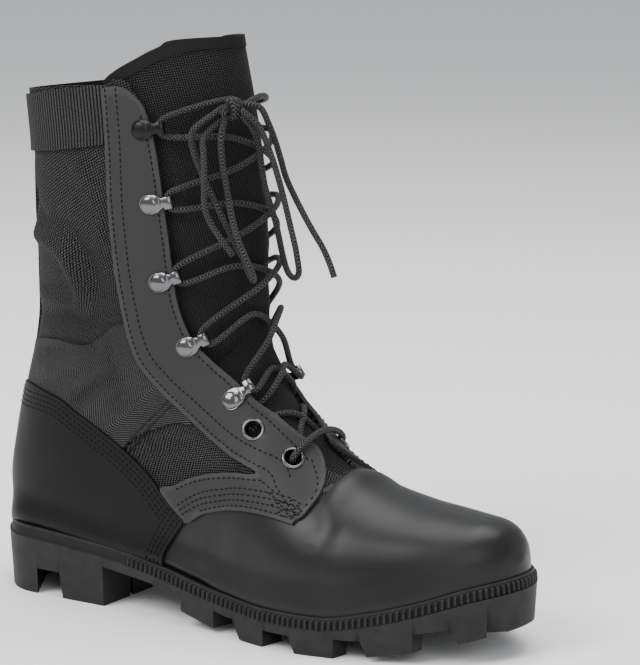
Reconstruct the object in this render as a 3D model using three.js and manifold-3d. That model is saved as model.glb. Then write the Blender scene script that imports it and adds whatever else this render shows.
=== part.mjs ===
// Jungle boot for the right foot, with a canvas shaft, leather foot and lugged rubber sole.
// Millimetres. X runs from heel to toe, Y to the inner side of the foot, Z up from the floor.
import * as THREE from 'three';
import { mergeVertices } from 'three/addons/utils/BufferGeometryUtils.js';
import Module from 'manifold-3d';

const wasm = await Module();
wasm.setup();

// Sole
const soleLength = 286; // back of the heel to the tip of the toe
const ballWidth = 101; // the sole's widest place
const heelWidth = 71;
const heelHeight = 34; // floor to the top of the sole, under the heel
const ballHeight = 18.5; // the same under the ball of the foot
const toeHeight = 38.5; // the same at the tip
const toeSpring = 15; // how far the tread lifts at the tip
const heelLength = 75.5; // back of the sole to the breast of the heel
const breastHeight = 20; // floor to the waist, at the breast
const treadDepth = 8;
const heelTreadDepth = 13;
const sideTaper = 1.8; // how far the side leans in, from the top of the heel to the floor
const ribPitch = 4.2;
const ribDepth = 1.4;
const ribBand = 5; // height of the ribbed step
const lipHeight = 1; // smooth edge above the ribs
const lipInset = 2.4;

// Upper
const bootHeight = 243; // floor to the collar at the back
const instepHeight = 58; // top of the sole to the vamp at the end of the throat
const shaftWidth = 72;
const wallThickness = 2;
const leatherThickness = 1.7;
const webbingThickness = 1.5;
const tongueThickness = 3;
const insoleThickness = 3;
const backstayWidth = 20;
const seamGap = 0.3; // between pieces that lie against each other
const tuck = 8; // how far the form of the upper runs down past the top of the sole

// Fittings and laces
const hookRadius = 4.8;
const hookDome = 2.4;
const hookReach = 11; // rivet's middle to the cross bar
const clipWidth = 3.4;
const clipPlate = 0.9;
const barWidth = 6.6;
const eyeletRadius = 5.6;
const eyeletHole = 3.6;
const eyeletHeight = 1.4;
const ventRadius = 5.5;
const laceWidth = 3;

// Fineness of the form
const rowSteps = 27;
const sideSteps = 10;

const shaftRise = bootHeight - heelHeight;

// Colours
const leatherBlack = { color: 0x1b1b1c, roughness: 0.42, metalness: 0 };
const nylonBlack = { color: 0x19191b, roughness: 0.85, metalness: 0 };
const webbingBlack = { color: 0x151516, roughness: 0.9, metalness: 0 };
const insoleGrey = { color: 0x3a3a3a, roughness: 0.9, metalness: 0 };
const laceBlack = { color: 0x121213, roughness: 0.8, metalness: 0 };
const nickel = { color: 0xb9bbbd, roughness: 0.3, metalness: 1 };
const rubberBlack = { color: 0x2a2a2b, roughness: 0.7, metalness: 0 };

// A smooth curve through the rows of a table that never overshoots them
function curveThrough(table, key, value) {
  const at = table.map((row) => row[key]);
  const to = table.map((row) => row[value]);
  const last = at.length - 1;
  const slope = at.slice(1).map((x, i) => (to[i + 1] - to[i]) / (x - at[i]));
  const lean = at.map((x, i) => {
    if (i === 0) return slope[0];
    if (i === last) return slope[last - 1];
    if (slope[i - 1] * slope[i] <= 0) return 0;
    const before = at[i] - at[i - 1];
    const after = at[i + 1] - at[i];
    const near = 2 * after + before;
    const far = after + 2 * before;
    return (near + far) / (near / slope[i - 1] + far / slope[i]);
  });
  return (place) => {
    const x = Math.min(Math.max(place, at[0]), at[last]);
    const i = Math.min(Math.max(at.findIndex((edge) => edge > x) - 1, 0), last - 1);
    const k = x >= at[last] ? last - 1 : i;
    const span = at[k + 1] - at[k];
    const t = (x - at[k]) / span;
    const rise = 3 * t * t - 2 * t * t * t;
    return to[k] * (1 - rise) + to[k + 1] * rise
      + span * lean[k] * (t - 2 * t * t + t * t * t)
      + span * lean[k + 1] * (t * t * t - t * t);
  };
}

function smooth(low, high, x) {
  const t = Math.min(Math.max((x - low) / (high - low), 0), 1);
  return t * t * (3 - 2 * t);
}

function mix(a, b, t) {
  return a + (b - a) * t;
}

// Solids
function solidOf(geometry) {
  const bare = geometry.clone();
  bare.deleteAttribute('normal');
  bare.deleteAttribute('uv');
  const merged = mergeVertices(bare, 1e-5);
  return new wasm.Manifold(new wasm.Mesh({
    numProp: 3,
    vertProperties: new Float32Array(merged.attributes.position.array),
    triVerts: new Uint32Array(merged.index.array),
  }));
}

function geometryOf(solid) {
  const mesh = solid.getMesh();
  const geometry = new THREE.BufferGeometry();
  geometry.setAttribute('position', new THREE.BufferAttribute(new Float32Array(mesh.vertProperties), 3));
  geometry.setIndex(new THREE.BufferAttribute(new Uint32Array(mesh.triVerts), 1));
  return geometry;
}

function joined(solids) {
  return solids.reduce((whole, solid) => whole.add(solid));
}

// Turns a closed skin right side out
function outward(points, faces) {
  const corners = faces.map((i) => points[i]);
  let volume = 0;
  for (let i = 0; i < corners.length; i += 3) {
    const [a, b, c] = corners.slice(i, i + 3);
    volume += a[0] * (b[1] * c[2] - b[2] * c[1])
      + a[1] * (b[2] * c[0] - b[0] * c[2])
      + a[2] * (b[0] * c[1] - b[1] * c[0]);
  }
  return volume > 0 ? faces : faces.slice().reverse();
}

function skinGeometry(points, faces) {
  const geometry = new THREE.BufferGeometry();
  geometry.setAttribute('position', new THREE.Float32BufferAttribute(points.flat(), 3));
  geometry.setIndex(outward(points, faces));
  return geometry;
}

// The direction that a flat ring of points faces
function ringNormal(ring) {
  const normal = new THREE.Vector3();
  ring.forEach((p, i) => {
    const q = ring[(i + 1) % ring.length];
    normal.x += (p[1] - q[1]) * (p[2] + q[2]);
    normal.y += (p[2] - q[2]) * (p[0] + q[0]);
    normal.z += (p[0] - q[0]) * (p[1] + q[1]);
  });
  return normal.normalize();
}

// Triangles that close a flat ring, facing the way the ring faces
function capFaces(ring) {
  const normal = ringNormal(ring);
  const sizes = normal.toArray().map(Math.abs);
  const drop = sizes.indexOf(Math.max(...sizes));
  const flat = ring.map((p) => new THREE.Vector2(p[(drop + 1) % 3], p[(drop + 2) % 3]));
  const turn = Math.sign(normal.getComponent(drop));
  return THREE.ShapeUtils.triangulateShape(flat, []).map(([a, b, c]) => {
    const area = THREE.ShapeUtils.area([flat[a], flat[b], flat[c]]);
    return area * turn > 0 ? [a, b, c] : [a, c, b];
  });
}

// A closed skin through rings of equally many points, with a cap at each end
function skinThrough(rings) {
  const around = rings[0].length;
  const faces = [];
  for (let r = 0; r < rings.length - 1; r += 1) {
    for (let i = 0; i < around; i += 1) {
      const a = r * around + i;
      const b = r * around + (i + 1) % around;
      faces.push(a, b, b + around, a, b + around, a + around);
    }
  }
  capFaces(rings[0]).forEach(([a, b, c]) => faces.push(a, c, b));
  const start = (rings.length - 1) * around;
  capFaces(rings[rings.length - 1]).forEach(([a, b, c]) => faces.push(start + a, start + b, start + c));
  return skinGeometry(rings.flat(), faces);
}

// An outline [x, z] seen from the side, made into a block between two places across the foot
function sideBlock(outline, from, to) {
  const ring = (y) => outline.map(([x, z]) => [x, y, z]);
  return solidOf(skinThrough([ring(from), ring(to)]));
}

// Outlines [x, y] seen from above, each at its height, made into a block
function planBlock(levels) {
  return solidOf(skinThrough(levels.map(({ outline, z }) => outline.map(([x, y]) => [x, y, z]))));
}

// The top of the sole: shares of the heel's and toe's height, the rest is the ball's
const seatTable = [
  { along: 0.00, heel: 1.04, toe: 0.00 },
  { along: 0.10, heel: 1.00, toe: 0.00 },
  { along: 0.26, heel: 0.80, toe: 0.00 },
  { along: 0.40, heel: 0.50, toe: 0.00 },
  { along: 0.52, heel: 0.15, toe: 0.00 },
  { along: 0.62, heel: 0.00, toe: 0.00 },
  { along: 0.72, heel: 0.00, toe: 0.00 },
  { along: 0.80, heel: 0.00, toe: 0.20 },
  { along: 0.88, heel: 0.00, toe: 0.52 },
  { along: 0.95, heel: 0.00, toe: 0.85 },
  { along: 1.00, heel: 0.00, toe: 1.00 },
];
const seatHeel = curveThrough(seatTable, 'along', 'heel');
const seatToe = curveThrough(seatTable, 'along', 'toe');

function seatHeight(x) {
  const along = x / soleLength;
  return ballHeight + seatHeel(along) * (heelHeight - ballHeight) + seatToe(along) * (toeHeight - ballHeight);
}

// The sole's outline: half width as a share of the width there, swing as a share of the ball's width
const outlineTable = [
  { along: 0.00, half: 0.497, swing: 0.000 },
  { along: 0.15, half: 0.503, swing: -0.018 },
  { along: 0.26, half: 0.493, swing: -0.026 },
  { along: 0.31, half: 0.478, swing: -0.046 },
  { along: 0.36, half: 0.455, swing: -0.063 },
  { along: 0.43, half: 0.427, swing: -0.081 },
  { along: 0.50, half: 0.424, swing: -0.071 },
  { along: 0.56, half: 0.436, swing: -0.056 },
  { along: 0.63, half: 0.473, swing: -0.037 },
  { along: 0.69, half: 0.495, swing: -0.018 },
  { along: 0.74, half: 0.486, swing: -0.002 },
  { along: 0.82, half: 0.444, swing: 0.017 },
  { along: 0.86, half: 0.419, swing: 0.030 },
  { along: 0.93, half: 0.394, swing: 0.044 },
  { along: 1.00, half: 0.376, swing: 0.052 },
];
const outlineHalf = curveThrough(outlineTable, 'along', 'half');
const outlineSwing = curveThrough(outlineTable, 'along', 'swing');
const heelRound = 0.105; // share of the length that the heel's round end takes
const toeRound = 0.175;
const waistBack = 0.30; // where the heel's width starts to grow into the ball's
const waistFront = 0.62;

function footWidth(x) {
  return mix(heelWidth, ballWidth, smooth(waistBack, waistFront, x / soleLength));
}

function halfWidth(x) {
  const along = x / soleLength;
  const heelTurn = Math.max(1 - along / heelRound, 0);
  const toeTurn = Math.max((along - 1 + toeRound) / toeRound, 0);
  const ends = Math.sqrt(Math.max(1 - heelTurn ** 2, 0)) * Math.sqrt(Math.max(1 - toeTurn ** 2, 0));
  return outlineHalf(along) * footWidth(x) * ends;
}

function centreLine(x) {
  return outlineSwing(x / soleLength) * ballWidth;
}

// Points of the sole's outline, evenly spaced, from the heel along the outer side and back
function outlinePoints(spacing) {
  const dense = [];
  const slices = 400;
  for (let i = 0; i <= slices; i += 1) {
    const x = soleLength * (1 - Math.cos(Math.PI * i / slices)) / 2;
    dense.push(new THREE.Vector3(x, centreLine(x) - halfWidth(x), 0));
  }
  for (let i = slices - 1; i > 0; i -= 1) {
    const x = soleLength * (1 - Math.cos(Math.PI * i / slices)) / 2;
    dense.push(new THREE.Vector3(x, centreLine(x) + halfWidth(x), 0));
  }
  const lengths = [0];
  dense.forEach((p, i) => lengths.push(lengths[i] + p.distanceTo(dense[(i + 1) % dense.length])));
  const total = lengths[dense.length];
  const count = 2 * Math.round(total / spacing / 2);
  const points = [];
  let k = 0;
  for (let i = 0; i < count; i += 1) {
    const target = total * i / count;
    while (lengths[k + 1] < target) k += 1;
    const t = (target - lengths[k]) / (lengths[k + 1] - lengths[k]);
    const p = dense[k].clone().lerp(dense[(k + 1) % dense.length], t);
    points.push([p.x, p.y]);
  }
  return points;
}

// The same outline moved inwards by a distance that may change along the way
function insetOutline(points, inset) {
  const count = points.length;
  return points.map(([x, y], i) => {
    const before = points[(i + count - 1) % count];
    const after = points[(i + 1) % count];
    const run = Math.hypot(after[0] - before[0], after[1] - before[1]);
    const inward = inset(x, i);
    return [x - (after[1] - before[1]) / run * inward, y + (after[0] - before[0]) / run * inward];
  });
}

// The underside: how far the tread lies above the floor ahead of the waist
const treadTable = [
  { along: 0.43, lift: 0.52 },
  { along: 0.51, lift: 0.19 },
  { along: 0.56, lift: 0.05 },
  { along: 0.60, lift: 0.00 },
  { along: 0.75, lift: 0.00 },
  { along: 0.80, lift: 0.15 },
  { along: 0.87, lift: 0.37 },
  { along: 0.93, lift: 0.66 },
  { along: 1.00, lift: 1.00 },
];
const treadLift = curveThrough(treadTable, 'along', 'lift');
const profileSteps = 16; // points of the sole's profile along its length
const outsideFoot = 20; // how far a cut or block runs past the foot
const waistEnd = 0.44; // where the tread starts again, as a share of the length

function treadHeight(x) {
  return treadLift(x / soleLength) * toeSpring;
}

function profileUnder() {
  const waistX = waistEnd * soleLength;
  const profile = [[-outsideFoot, 0], [heelLength, 0], [heelLength, breastHeight]];
  profile.push([waistX, treadHeight(waistX) + treadDepth]);
  const steps = Math.round((1 - waistEnd) * profileSteps);
  for (let i = 0; i <= steps; i += 1) {
    const x = mix(waistX, soleLength, i / steps);
    profile.push([x, treadHeight(x)]);
  }
  profile.push([soleLength + outsideFoot, toeSpring]);
  return profile;
}

function profileOver(drop) {
  const profile = [[soleLength + outsideFoot, toeHeight - drop]];
  for (let i = profileSteps; i >= 0; i -= 1) {
    const x = soleLength * i / profileSteps;
    profile.push([x, seatHeight(x) - drop]);
  }
  profile.push([-outsideFoot, seatHeight(0) - drop]);
  return profile;
}

// Tread
const grooveSlant = 0.19; // a groove's inner end lies this share of the way across further ahead
const lugBackLean = 3.5; // what a lug's back leans out at its root
const lugFrontLean = 0.5;

// Rows of lugs: back and front along the outer edge, and the height of what lies between the lugs
const lugRows = [
  { back: 0.440, front: 0.510, inner: 0.16, plateau: 0.20 },
  { back: 0.566, front: 0.617, inner: 0.13, plateau: 0.20 },
  { back: 0.680, front: 0.745, inner: 0.13, plateau: 0.20 },
  { back: 0.798, front: 0.867, inner: 0.13, plateau: 0.20 },
  { back: 0.925, front: 1.060, inner: 0.15, plateau: 1.05 },
];
const outerLug = 0.127; // width of the outer lugs, as a share of the ball's
const rampWidth = 0.133;

function outerEdge(x) {
  return centreLine(Math.min(x, soleLength)) - halfWidth(Math.min(x, soleLength * (1 - toeRound / 2)));
}

function innerEdge(x) {
  return centreLine(Math.min(x, soleLength)) + halfWidth(Math.min(x, soleLength * (1 - toeRound / 2)));
}

// A groove right across the sole, between the lugs behind it and the lugs ahead
function groove(back, front) {
  const ring = (y) => {
    const shift = grooveSlant * (y - outerEdge(back));
    const place = (x, depth, lean) => {
      const far = x + shift + lean * (1 - depth / treadDepth);
      return [far, y, treadHeight(Math.min(x + shift, soleLength)) + depth];
    };
    return [
      place(back + lugFrontLean, treadDepth, -lugFrontLean),
      place(back + lugFrontLean, -treadDepth, -lugFrontLean),
      place(front - lugBackLean, -treadDepth, lugBackLean),
      place(front - lugBackLean, treadDepth, lugBackLean),
    ];
  };
  return solidOf(skinThrough([ring(-ballWidth), ring(ballWidth)]));
}

// The low ground between the lugs of a row, which falls towards them in two ramps
function lugPocket({ back, front, inner, plateau }) {
  const middle = (back + front) / 2 * soleLength;
  const outer = outerEdge(middle) + outerLug * ballWidth;
  const far = innerEdge(middle + grooveSlant * ballWidth) - inner * ballWidth;
  const ramp = rampWidth * ballWidth;
  const section = [
    [outer, -1], [outer, 1], [outer + ramp, 1 - plateau], [far - ramp, 1 - plateau], [far, 1], [far, -1],
  ];
  const ring = (place) => section.map(([y, depth]) => {
    const x = place + grooveSlant * (y - outerEdge(middle));
    return [x, y, treadHeight(Math.min(x, soleLength)) + depth * treadDepth];
  });
  return solidOf(skinThrough([ring(back * soleLength - 2), ring(front * soleLength + 2)]));
}

// Blocks of the heel's tread, as shares of the heel's length and width
const heelBlocks = {
  inner: [[1.2, 0.26], [0.63, 0.21], [0.63, 0.8], [1.2, 0.8]],
  middle: [[1.2, 0.07], [0.75, 0.05], [1.0, -0.17], [1.2, -0.35]],
  outer: [[1.2, -0.22], [0.81, -0.20], [0.64, -0.37], [0.72, -0.8], [1.2, -0.8]],
};
const heelFork = [[0.51, -0.60], [0.21, -0.07], [0.51, 0.60], [1.3, 0.9], [1.3, -0.9]];
const islandPlace = [0.553, -0.08]; // centre of the island in the heel's tread
const islandReach = 11; // centre of the island to its corners
const islandCorner = 0.82; // where its corners are cut off, as a share of that reach
const blockSpread = 1.1; // how much wider a block of the heel is at its root

const islandX = islandPlace[0] * heelLength;
const islandY = islandPlace[1] * heelWidth;

function islandOutline() {
  const outline = [];
  for (let i = 0; i < 4; i += 1) {
    const angle = i * Math.PI / 2 + 0.08;
    const side = Math.PI / 2 * (1 - islandCorner);
    outline.push([angle - side / 2, islandReach * islandCorner * 1.1]);
    outline.push([angle + side / 2, islandReach * islandCorner * 1.1]);
  }
  return outline.map(([angle, reach]) => [islandX + reach * Math.cos(angle), islandY + reach * Math.sin(angle)]);
}

function spreadOutline(outline, factor) {
  const middle = outline.reduce(([x, y], p) => [x + p[0] / outline.length, y + p[1] / outline.length], [0, 0]);
  return outline.map(([x, y]) => [middle[0] + (x - middle[0]) * factor, middle[1] + (y - middle[1]) * factor]);
}

function heelBlock(outline) {
  return planBlock([
    { outline, z: -outsideFoot - 1 },
    { outline, z: 0 },
    { outline: spreadOutline(outline, blockSpread), z: heelTreadDepth + 1 },
  ]);
}

function heelCut() {
  const place = ([along, across]) => [along * heelLength, across * heelWidth];
  const fork = heelFork.map(place);
  const channel = planBlock([{ outline: fork, z: -outsideFoot }, { outline: fork, z: heelTreadDepth }]);
  const blocks = Object.values(heelBlocks).map((outline) => heelBlock(outline.map(place)));
  return channel.subtract(joined([...blocks, heelBlock(islandOutline())]));
}

// A layer of the sole between two depths below its top
function soleLayer(outline, upper, lower) {
  const over = profileOver(upper);
  const under = profileOver(lower).reverse();
  const block = sideBlock([...over, ...under], -ballWidth, ballWidth);
  return planBlock([{ outline, z: -outsideFoot }, { outline, z: toeHeight + outsideFoot }]).intersect(block);
}

const ribStart = 0.32; // where the ribs begin, as a share of the length
const heelLip = 1.2; // inset of the smooth step round the heel
const bodyFacet = 10; // length of the straight facets of the sole's outline
const plainSkip = 5; // one point in so many is kept where the edge has no ribs

function outsole() {
  const outline = outlinePoints(bodyFacet);
  const footprint = insetOutline(outline, () => sideTaper);
  const wide = insetOutline(outline, () => -sideTaper * outsideFoot / heelHeight);
  const body = planBlock([{ outline: footprint, z: 0 }, { outline: wide, z: heelHeight + outsideFoot }]);
  const ribDrop = ribBand + lipHeight;
  const sides = sideBlock([...profileUnder(), ...profileOver(ribDrop)], -ballWidth, ballWidth);
  const ribbed = (x) => x > ribStart * soleLength;
  const teeth = outlinePoints(ribPitch / 2);
  const ribOutline = insetOutline(teeth, (x, i) => heelLip - (ribbed(x) && i % 2 === 0 ? ribDepth : 0))
    .filter((point, i) => ribbed(teeth[i][0]) || i % plainSkip === 0);
  const ribs = soleLayer(ribOutline, lipHeight, ribDrop + lipHeight);
  const lip = soleLayer(insetOutline(outline, () => lipInset), 0, ribDrop + lipHeight);
  const cuts = lugRows.map(lugPocket);
  lugRows.slice(1).forEach((row, i) => {
    cuts.push(groove(lugRows[i].front * soleLength, row.back * soleLength));
  });
  cuts.push(heelCut());
  return joined([body.intersect(sides), ribs, lip]).subtract(joined(cuts));
}

// The form of the boot: sections from the toe round the instep and up the leg. Each runs from a point
// at the back or bottom to one at the front or top. Lengths are shares: x of the sole's length, fore of
// the instep's height, backUp and shaftUp of the shaft's rise, half of the width of foot or leg.
const formTable = [
  { backX: 0.980, backUp: 0.065, frontX: 0.980, fore: 0.16, shaftUp: 0.000, half: 0.030, swing: 0.050, leg: 0 },
  { backX: 0.976, backUp: 0.042, frontX: 0.976, fore: 0.26, shaftUp: 0.000, half: 0.104, swing: 0.050, leg: 0 },
  { backX: 0.965, backUp: 0.029, frontX: 0.965, fore: 0.35, shaftUp: 0.000, half: 0.163, swing: 0.048, leg: 0 },
  { backX: 0.941, backUp: 0.020, frontX: 0.941, fore: 0.44, shaftUp: 0.000, half: 0.233, swing: 0.042, leg: 0 },
  { backX: 0.902, backUp: 0.014, frontX: 0.902, fore: 0.53, shaftUp: 0.000, half: 0.297, swing: 0.036, leg: 0 },
  { backX: 0.850, backUp: 0.008, frontX: 0.850, fore: 0.64, shaftUp: 0.000, half: 0.356, swing: 0.026, leg: 0 },
  { backX: 0.797, backUp: 0.006, frontX: 0.797, fore: 0.75, shaftUp: 0.000, half: 0.394, swing: 0.010, leg: 0 },
  { backX: 0.741, backUp: 0.006, frontX: 0.745, fore: 0.87, shaftUp: 0.000, half: 0.422, swing: -0.006, leg: 0 },
  { backX: 0.682, backUp: 0.006, frontX: 0.691, fore: 1.00, shaftUp: 0.000, half: 0.430, swing: -0.022, leg: 0 },
  { backX: 0.615, backUp: 0.006, frontX: 0.640, fore: 1.00, shaftUp: 0.045, half: 0.410, swing: -0.034, leg: 0 },
  { backX: 0.542, backUp: 0.006, frontX: 0.598, fore: 1.00, shaftUp: 0.108, half: 0.380, swing: -0.041, leg: 0 },
  { backX: 0.462, backUp: 0.006, frontX: 0.566, fore: 1.00, shaftUp: 0.160, half: 0.475, swing: -0.039, leg: 1 },
  { backX: 0.371, backUp: 0.005, frontX: 0.547, fore: 1.00, shaftUp: 0.212, half: 0.453, swing: -0.032, leg: 1 },
  { backX: 0.266, backUp: 0.004, frontX: 0.534, fore: 1.00, shaftUp: 0.259, half: 0.453, swing: -0.024, leg: 1 },
  { backX: 0.154, backUp: 0.001, frontX: 0.527, fore: 1.00, shaftUp: 0.303, half: 0.458, swing: -0.018, leg: 1 },
  { backX: 0.066, backUp: 0.003, frontX: 0.525, fore: 1.00, shaftUp: 0.341, half: 0.461, swing: -0.016, leg: 1 },
  { backX: 0.021, backUp: 0.034, frontX: 0.525, fore: 1.00, shaftUp: 0.372, half: 0.463, swing: -0.015, leg: 1 },
  { backX: 0.010, backUp: 0.120, frontX: 0.525, fore: 1.00, shaftUp: 0.403, half: 0.464, swing: -0.014, leg: 1 },
  { backX: 0.021, backUp: 0.226, frontX: 0.524, fore: 1.00, shaftUp: 0.436, half: 0.464, swing: -0.010, leg: 1 },
  { backX: 0.040, backUp: 0.351, frontX: 0.522, fore: 1.00, shaftUp: 0.474, half: 0.458, swing: -0.006, leg: 1 },
  { backX: 0.059, backUp: 0.457, frontX: 0.520, fore: 1.00, shaftUp: 0.512, half: 0.458, swing: -0.002, leg: 1 },
  { backX: 0.068, backUp: 0.553, frontX: 0.518, fore: 1.00, shaftUp: 0.555, half: 0.469, swing: 0.000, leg: 1 },
  { backX: 0.068, backUp: 0.663, frontX: 0.515, fore: 1.00, shaftUp: 0.608, half: 0.483, swing: 0.000, leg: 1 },
  { backX: 0.065, backUp: 0.783, frontX: 0.509, fore: 1.00, shaftUp: 0.670, half: 0.493, swing: 0.000, leg: 1 },
  { backX: 0.065, backUp: 0.907, frontX: 0.500, fore: 1.00, shaftUp: 0.742, half: 0.500, swing: 0.000, leg: 1 },
  { backX: 0.058, backUp: 1.031, frontX: 0.488, fore: 1.00, shaftUp: 0.821, half: 0.500, swing: 0.000, leg: 1 },
  { backX: 0.049, backUp: 1.155, frontX: 0.474, fore: 1.00, shaftUp: 0.909, half: 0.493, swing: 0.000, leg: 1 },
  { backX: 0.045, backUp: 1.213, frontX: 0.467, fore: 1.00, shaftUp: 0.962, half: 0.486, swing: 0.000, leg: 1 },
].map((row, i) => ({ ...row, row: i }));

// How full the sections are: where they are widest, and how square below and above that
const fullTable = [
  { row: 0, wide: 0.40, low: 2.4, top: 2.2 },
  { row: 4, wide: 0.40, low: 3.4, top: 2.2 },
  { row: 7, wide: 0.36, low: 4.0, top: 2.1 },
  { row: 9, wide: 0.34, low: 4.0, top: 1.9 },
  { row: 12, wide: 0.36, low: 3.2, top: 1.9 },
  { row: 16, wide: 0.42, low: 2.5, top: 1.9 },
  { row: 21, wide: 0.45, low: 2.2, top: 1.9 },
  { row: 27, wide: 0.46, low: 2.2, top: 1.9 },
];

const lastRow = formTable.length - 1;
const formKeys = ['backX', 'backUp', 'frontX', 'fore', 'shaftUp', 'half', 'swing', 'leg'];
const formCurve = Object.fromEntries([
  ...formKeys.map((key) => [key, curveThrough(formTable, 'row', key)]),
  ...['wide', 'low', 'top'].map((key) => [key, curveThrough(fullTable, 'row', key)]),
]);

function sectionAt(row) {
  const value = Object.fromEntries(Object.entries(formCurve).map(([key, curve]) => [key, curve(row)]));
  const backX = value.backX * soleLength;
  const frontX = value.frontX * soleLength;
  return {
    ...value,
    back: [backX, seatHeight(backX) - tuck + value.backUp * shaftRise],
    front: [frontX, seatHeight(frontX) + value.fore * instepHeight + value.shaftUp * shaftRise],
    centre: value.swing * ballWidth,
    reach: value.half * mix(footWidth((backX + frontX) / 2), shaftWidth, value.leg),
  };
}

// A place on a section's line from back to front, seen from the side
function sidePoint([row, share]) {
  const { back, front } = sectionAt(row);
  return [mix(back[0], front[0], share), mix(back[1], front[1], share)];
}

// A point of the form: angle 0 is at the back or bottom, a half turn is at the front or top
function formPoint(row, angle) {
  const { back, front, centre, reach, wide, low, top } = sectionAt(row);
  const level = Math.cos(angle);
  const power = 2 / (level > 0 ? low : top);
  const bend = Math.abs(level) ** power;
  const share = level > 0 ? wide * (1 - bend) : wide + (1 - wide) * bend;
  const across = Math.sign(Math.sin(angle)) * reach * Math.abs(Math.sin(angle)) ** power;
  return [mix(back[0], front[0], share), centre + across, mix(back[1], front[1], share)];
}

function formRings() {
  const rings = [];
  for (let r = 0; r <= rowSteps; r += 1) {
    const ring = [];
    for (let i = 0; i < 2 * sideSteps; i += 1) {
      ring.push(formPoint(lastRow * r / rowSteps, Math.PI * i / sideSteps));
    }
    rings.push(ring);
  }
  return rings;
}

const formSkin = skinThrough(formRings());
formSkin.computeVertexNormals();

// The form grown by an offset, or shrunk by a negative one
function form(offset) {
  const grown = formSkin.clone();
  const place = grown.attributes.position;
  const normal = grown.attributes.normal;
  for (let i = 0; i < place.count; i += 1) {
    place.setXYZ(
      i,
      place.getX(i) + normal.getX(i) * offset,
      place.getY(i) + normal.getY(i) * offset,
      place.getZ(i) + normal.getZ(i) * offset,
    );
  }
  return solidOf(grown);
}

// Outlines seen from the side, each point a row of the form and a share of that row's line
const collarLine = [[25.15, -0.5], [25.2, 0.05], [25.25, 0.30], [25.25, 0.52], [25.35, 0.57], [25.3, 0.62]];
const throatEdge = [
  [25.1, 0.66], [24.6, 0.70], [23.6, 0.72], [21.6, 0.73], [20.2, 0.74], [18.5, 0.77], [16.3, 0.82],
  [14.3, 0.85], [12.8, 0.88], [11.4, 0.92], [10.3, 0.96], [9.4, 0.985], [8.7, 0.985], [8.0, 1.04], [8.0, 1.6],
];
const eyestayRear = [
  [25.2, 0.52], [24.0, 0.51], [22.8, 0.50], [21.5, 0.50], [20.5, 0.51], [19.5, 0.54], [18.2, 0.59], [16.8, 0.64],
  [14.9, 0.675], [13.6, 0.67], [12.7, 0.665], [12.0, 0.665], [11.0, 0.69], [9.93, 0.74], [9.5, 0.722], [9.05, 0.70],
  [8.6, 0.675],
];
const eyestayFront = [
  [8.36, 0.735], [8.22, 0.834], [8.2, 0.88], [8.35, 0.94], [8.9, 0.985], [9.6, 0.975],
  [10.4, 0.95], [11.4, 0.91], [12.8, 0.87], [14.3, 0.84], [16.3, 0.81], [18.5, 0.76], [20.2, 0.73], [21.6, 0.72],
  [23.6, 0.71], [24.6, 0.69], [25.0, 0.655], [25.2, 0.60],
];
const counterOutline = [
  [19.02, -0.3], [19.02, 0.017], [18.08, 0.269], [16.84, 0.403], [15.42, 0.467], [14.34, 0.457], [13.62, 0.433],
  [13.05, 0.399], [12.63, 0.364], [12.23, 0.328], [11.8, 0.30], [11.91, 0.211], [11.94, 0.124], [11.85, 0.04],
  [11.8, -0.3], [14.5, -0.3], [16.5, -0.4],
];
const saddleOutline = [
  [12.63, 0.368], [12.45, 0.42], [12.23, 0.47], [11.79, 0.535], [11.19, 0.607], [10.5, 0.679], [9.95, 0.732],
  [9.52, 0.714], [9.07, 0.692], [8.62, 0.666], [9.34, 0.606], [10.08, 0.537], [10.54, 0.491], [11.06, 0.427],
  [11.42, 0.37], [11.79, 0.305], [12.22, 0.333],
];
const bandOutline = [
  [25.1, -0.3], [25.1, 0.05], [25.2, 0.30], [25.2, 0.505], [24.0, 0.495], [24.0, 0.25], [24.1, -0.3],
];
const backstayOutline = [[23.9, -0.3], [23.9, 0.3], [19.12, 0.1], [19.12, -0.3]];
const tongueOutline = [
  [25.3, 0.52], [25.5, 0.58], [25.7, 0.66], [26.0, 0.76], [26.3, 0.88], [26.4, 1.5],
  [7.0, 1.5], [7.2, 0.92], [8.4, 0.86], [10.2, 0.82], [12.8, 0.76], [16.3, 0.71], [18.5, 0.65], [20.5, 0.61],
  [22.8, 0.60], [24.4, 0.56], [25.0, 0.49],
];

const blockReach = ballWidth;

function sides(outline) {
  return sideBlock(outline.map(sidePoint), -blockReach, blockReach);
}

function oneSide(outline, side) {
  return side < 0
    ? sideBlock(outline.map(sidePoint), -blockReach, -seamGap)
    : sideBlock(outline.map(sidePoint), seamGap, blockReach);
}

// What lies over the sole, and over it by a gap
function aboveSole(gap) {
  const over = profileOver(-gap).reverse();
  const high = bootHeight + shaftRise;
  return sideBlock([...over, [soleLength + outsideFoot, high], [-outsideFoot, high]], -blockReach, blockReach);
}

function openings() {
  const edge = [...collarLine, ...throatEdge].map(sidePoint);
  const high = bootHeight + shaftRise;
  return sideBlock([...edge, [soleLength, high], [-soleLength, high]], -blockReach, blockReach);
}

function upper() {
  const wall = form(0).subtract(form(-wallThickness));
  return wall.intersect(aboveSole(seamGap)).subtract(openings());
}

function insole() {
  const inside = form(-wallThickness - seamGap);
  return inside.intersect(aboveSole(seamGap)).subtract(aboveSole(seamGap + insoleThickness));
}

function tongue() {
  const under = wallThickness + seamGap;
  return form(-under).subtract(form(-under - tongueThickness)).intersect(sides(tongueOutline));
}

// A layer laid on the upper, as thick as its leather or webbing
const overlayBase = form(seamGap);

function overlay(thickness, outline, side) {
  const layer = form(seamGap + thickness).subtract(overlayBase);
  return layer.intersect(side === 0 ? sides(outline) : oneSide(outline, side)).intersect(aboveSole(seamGap));
}

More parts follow.
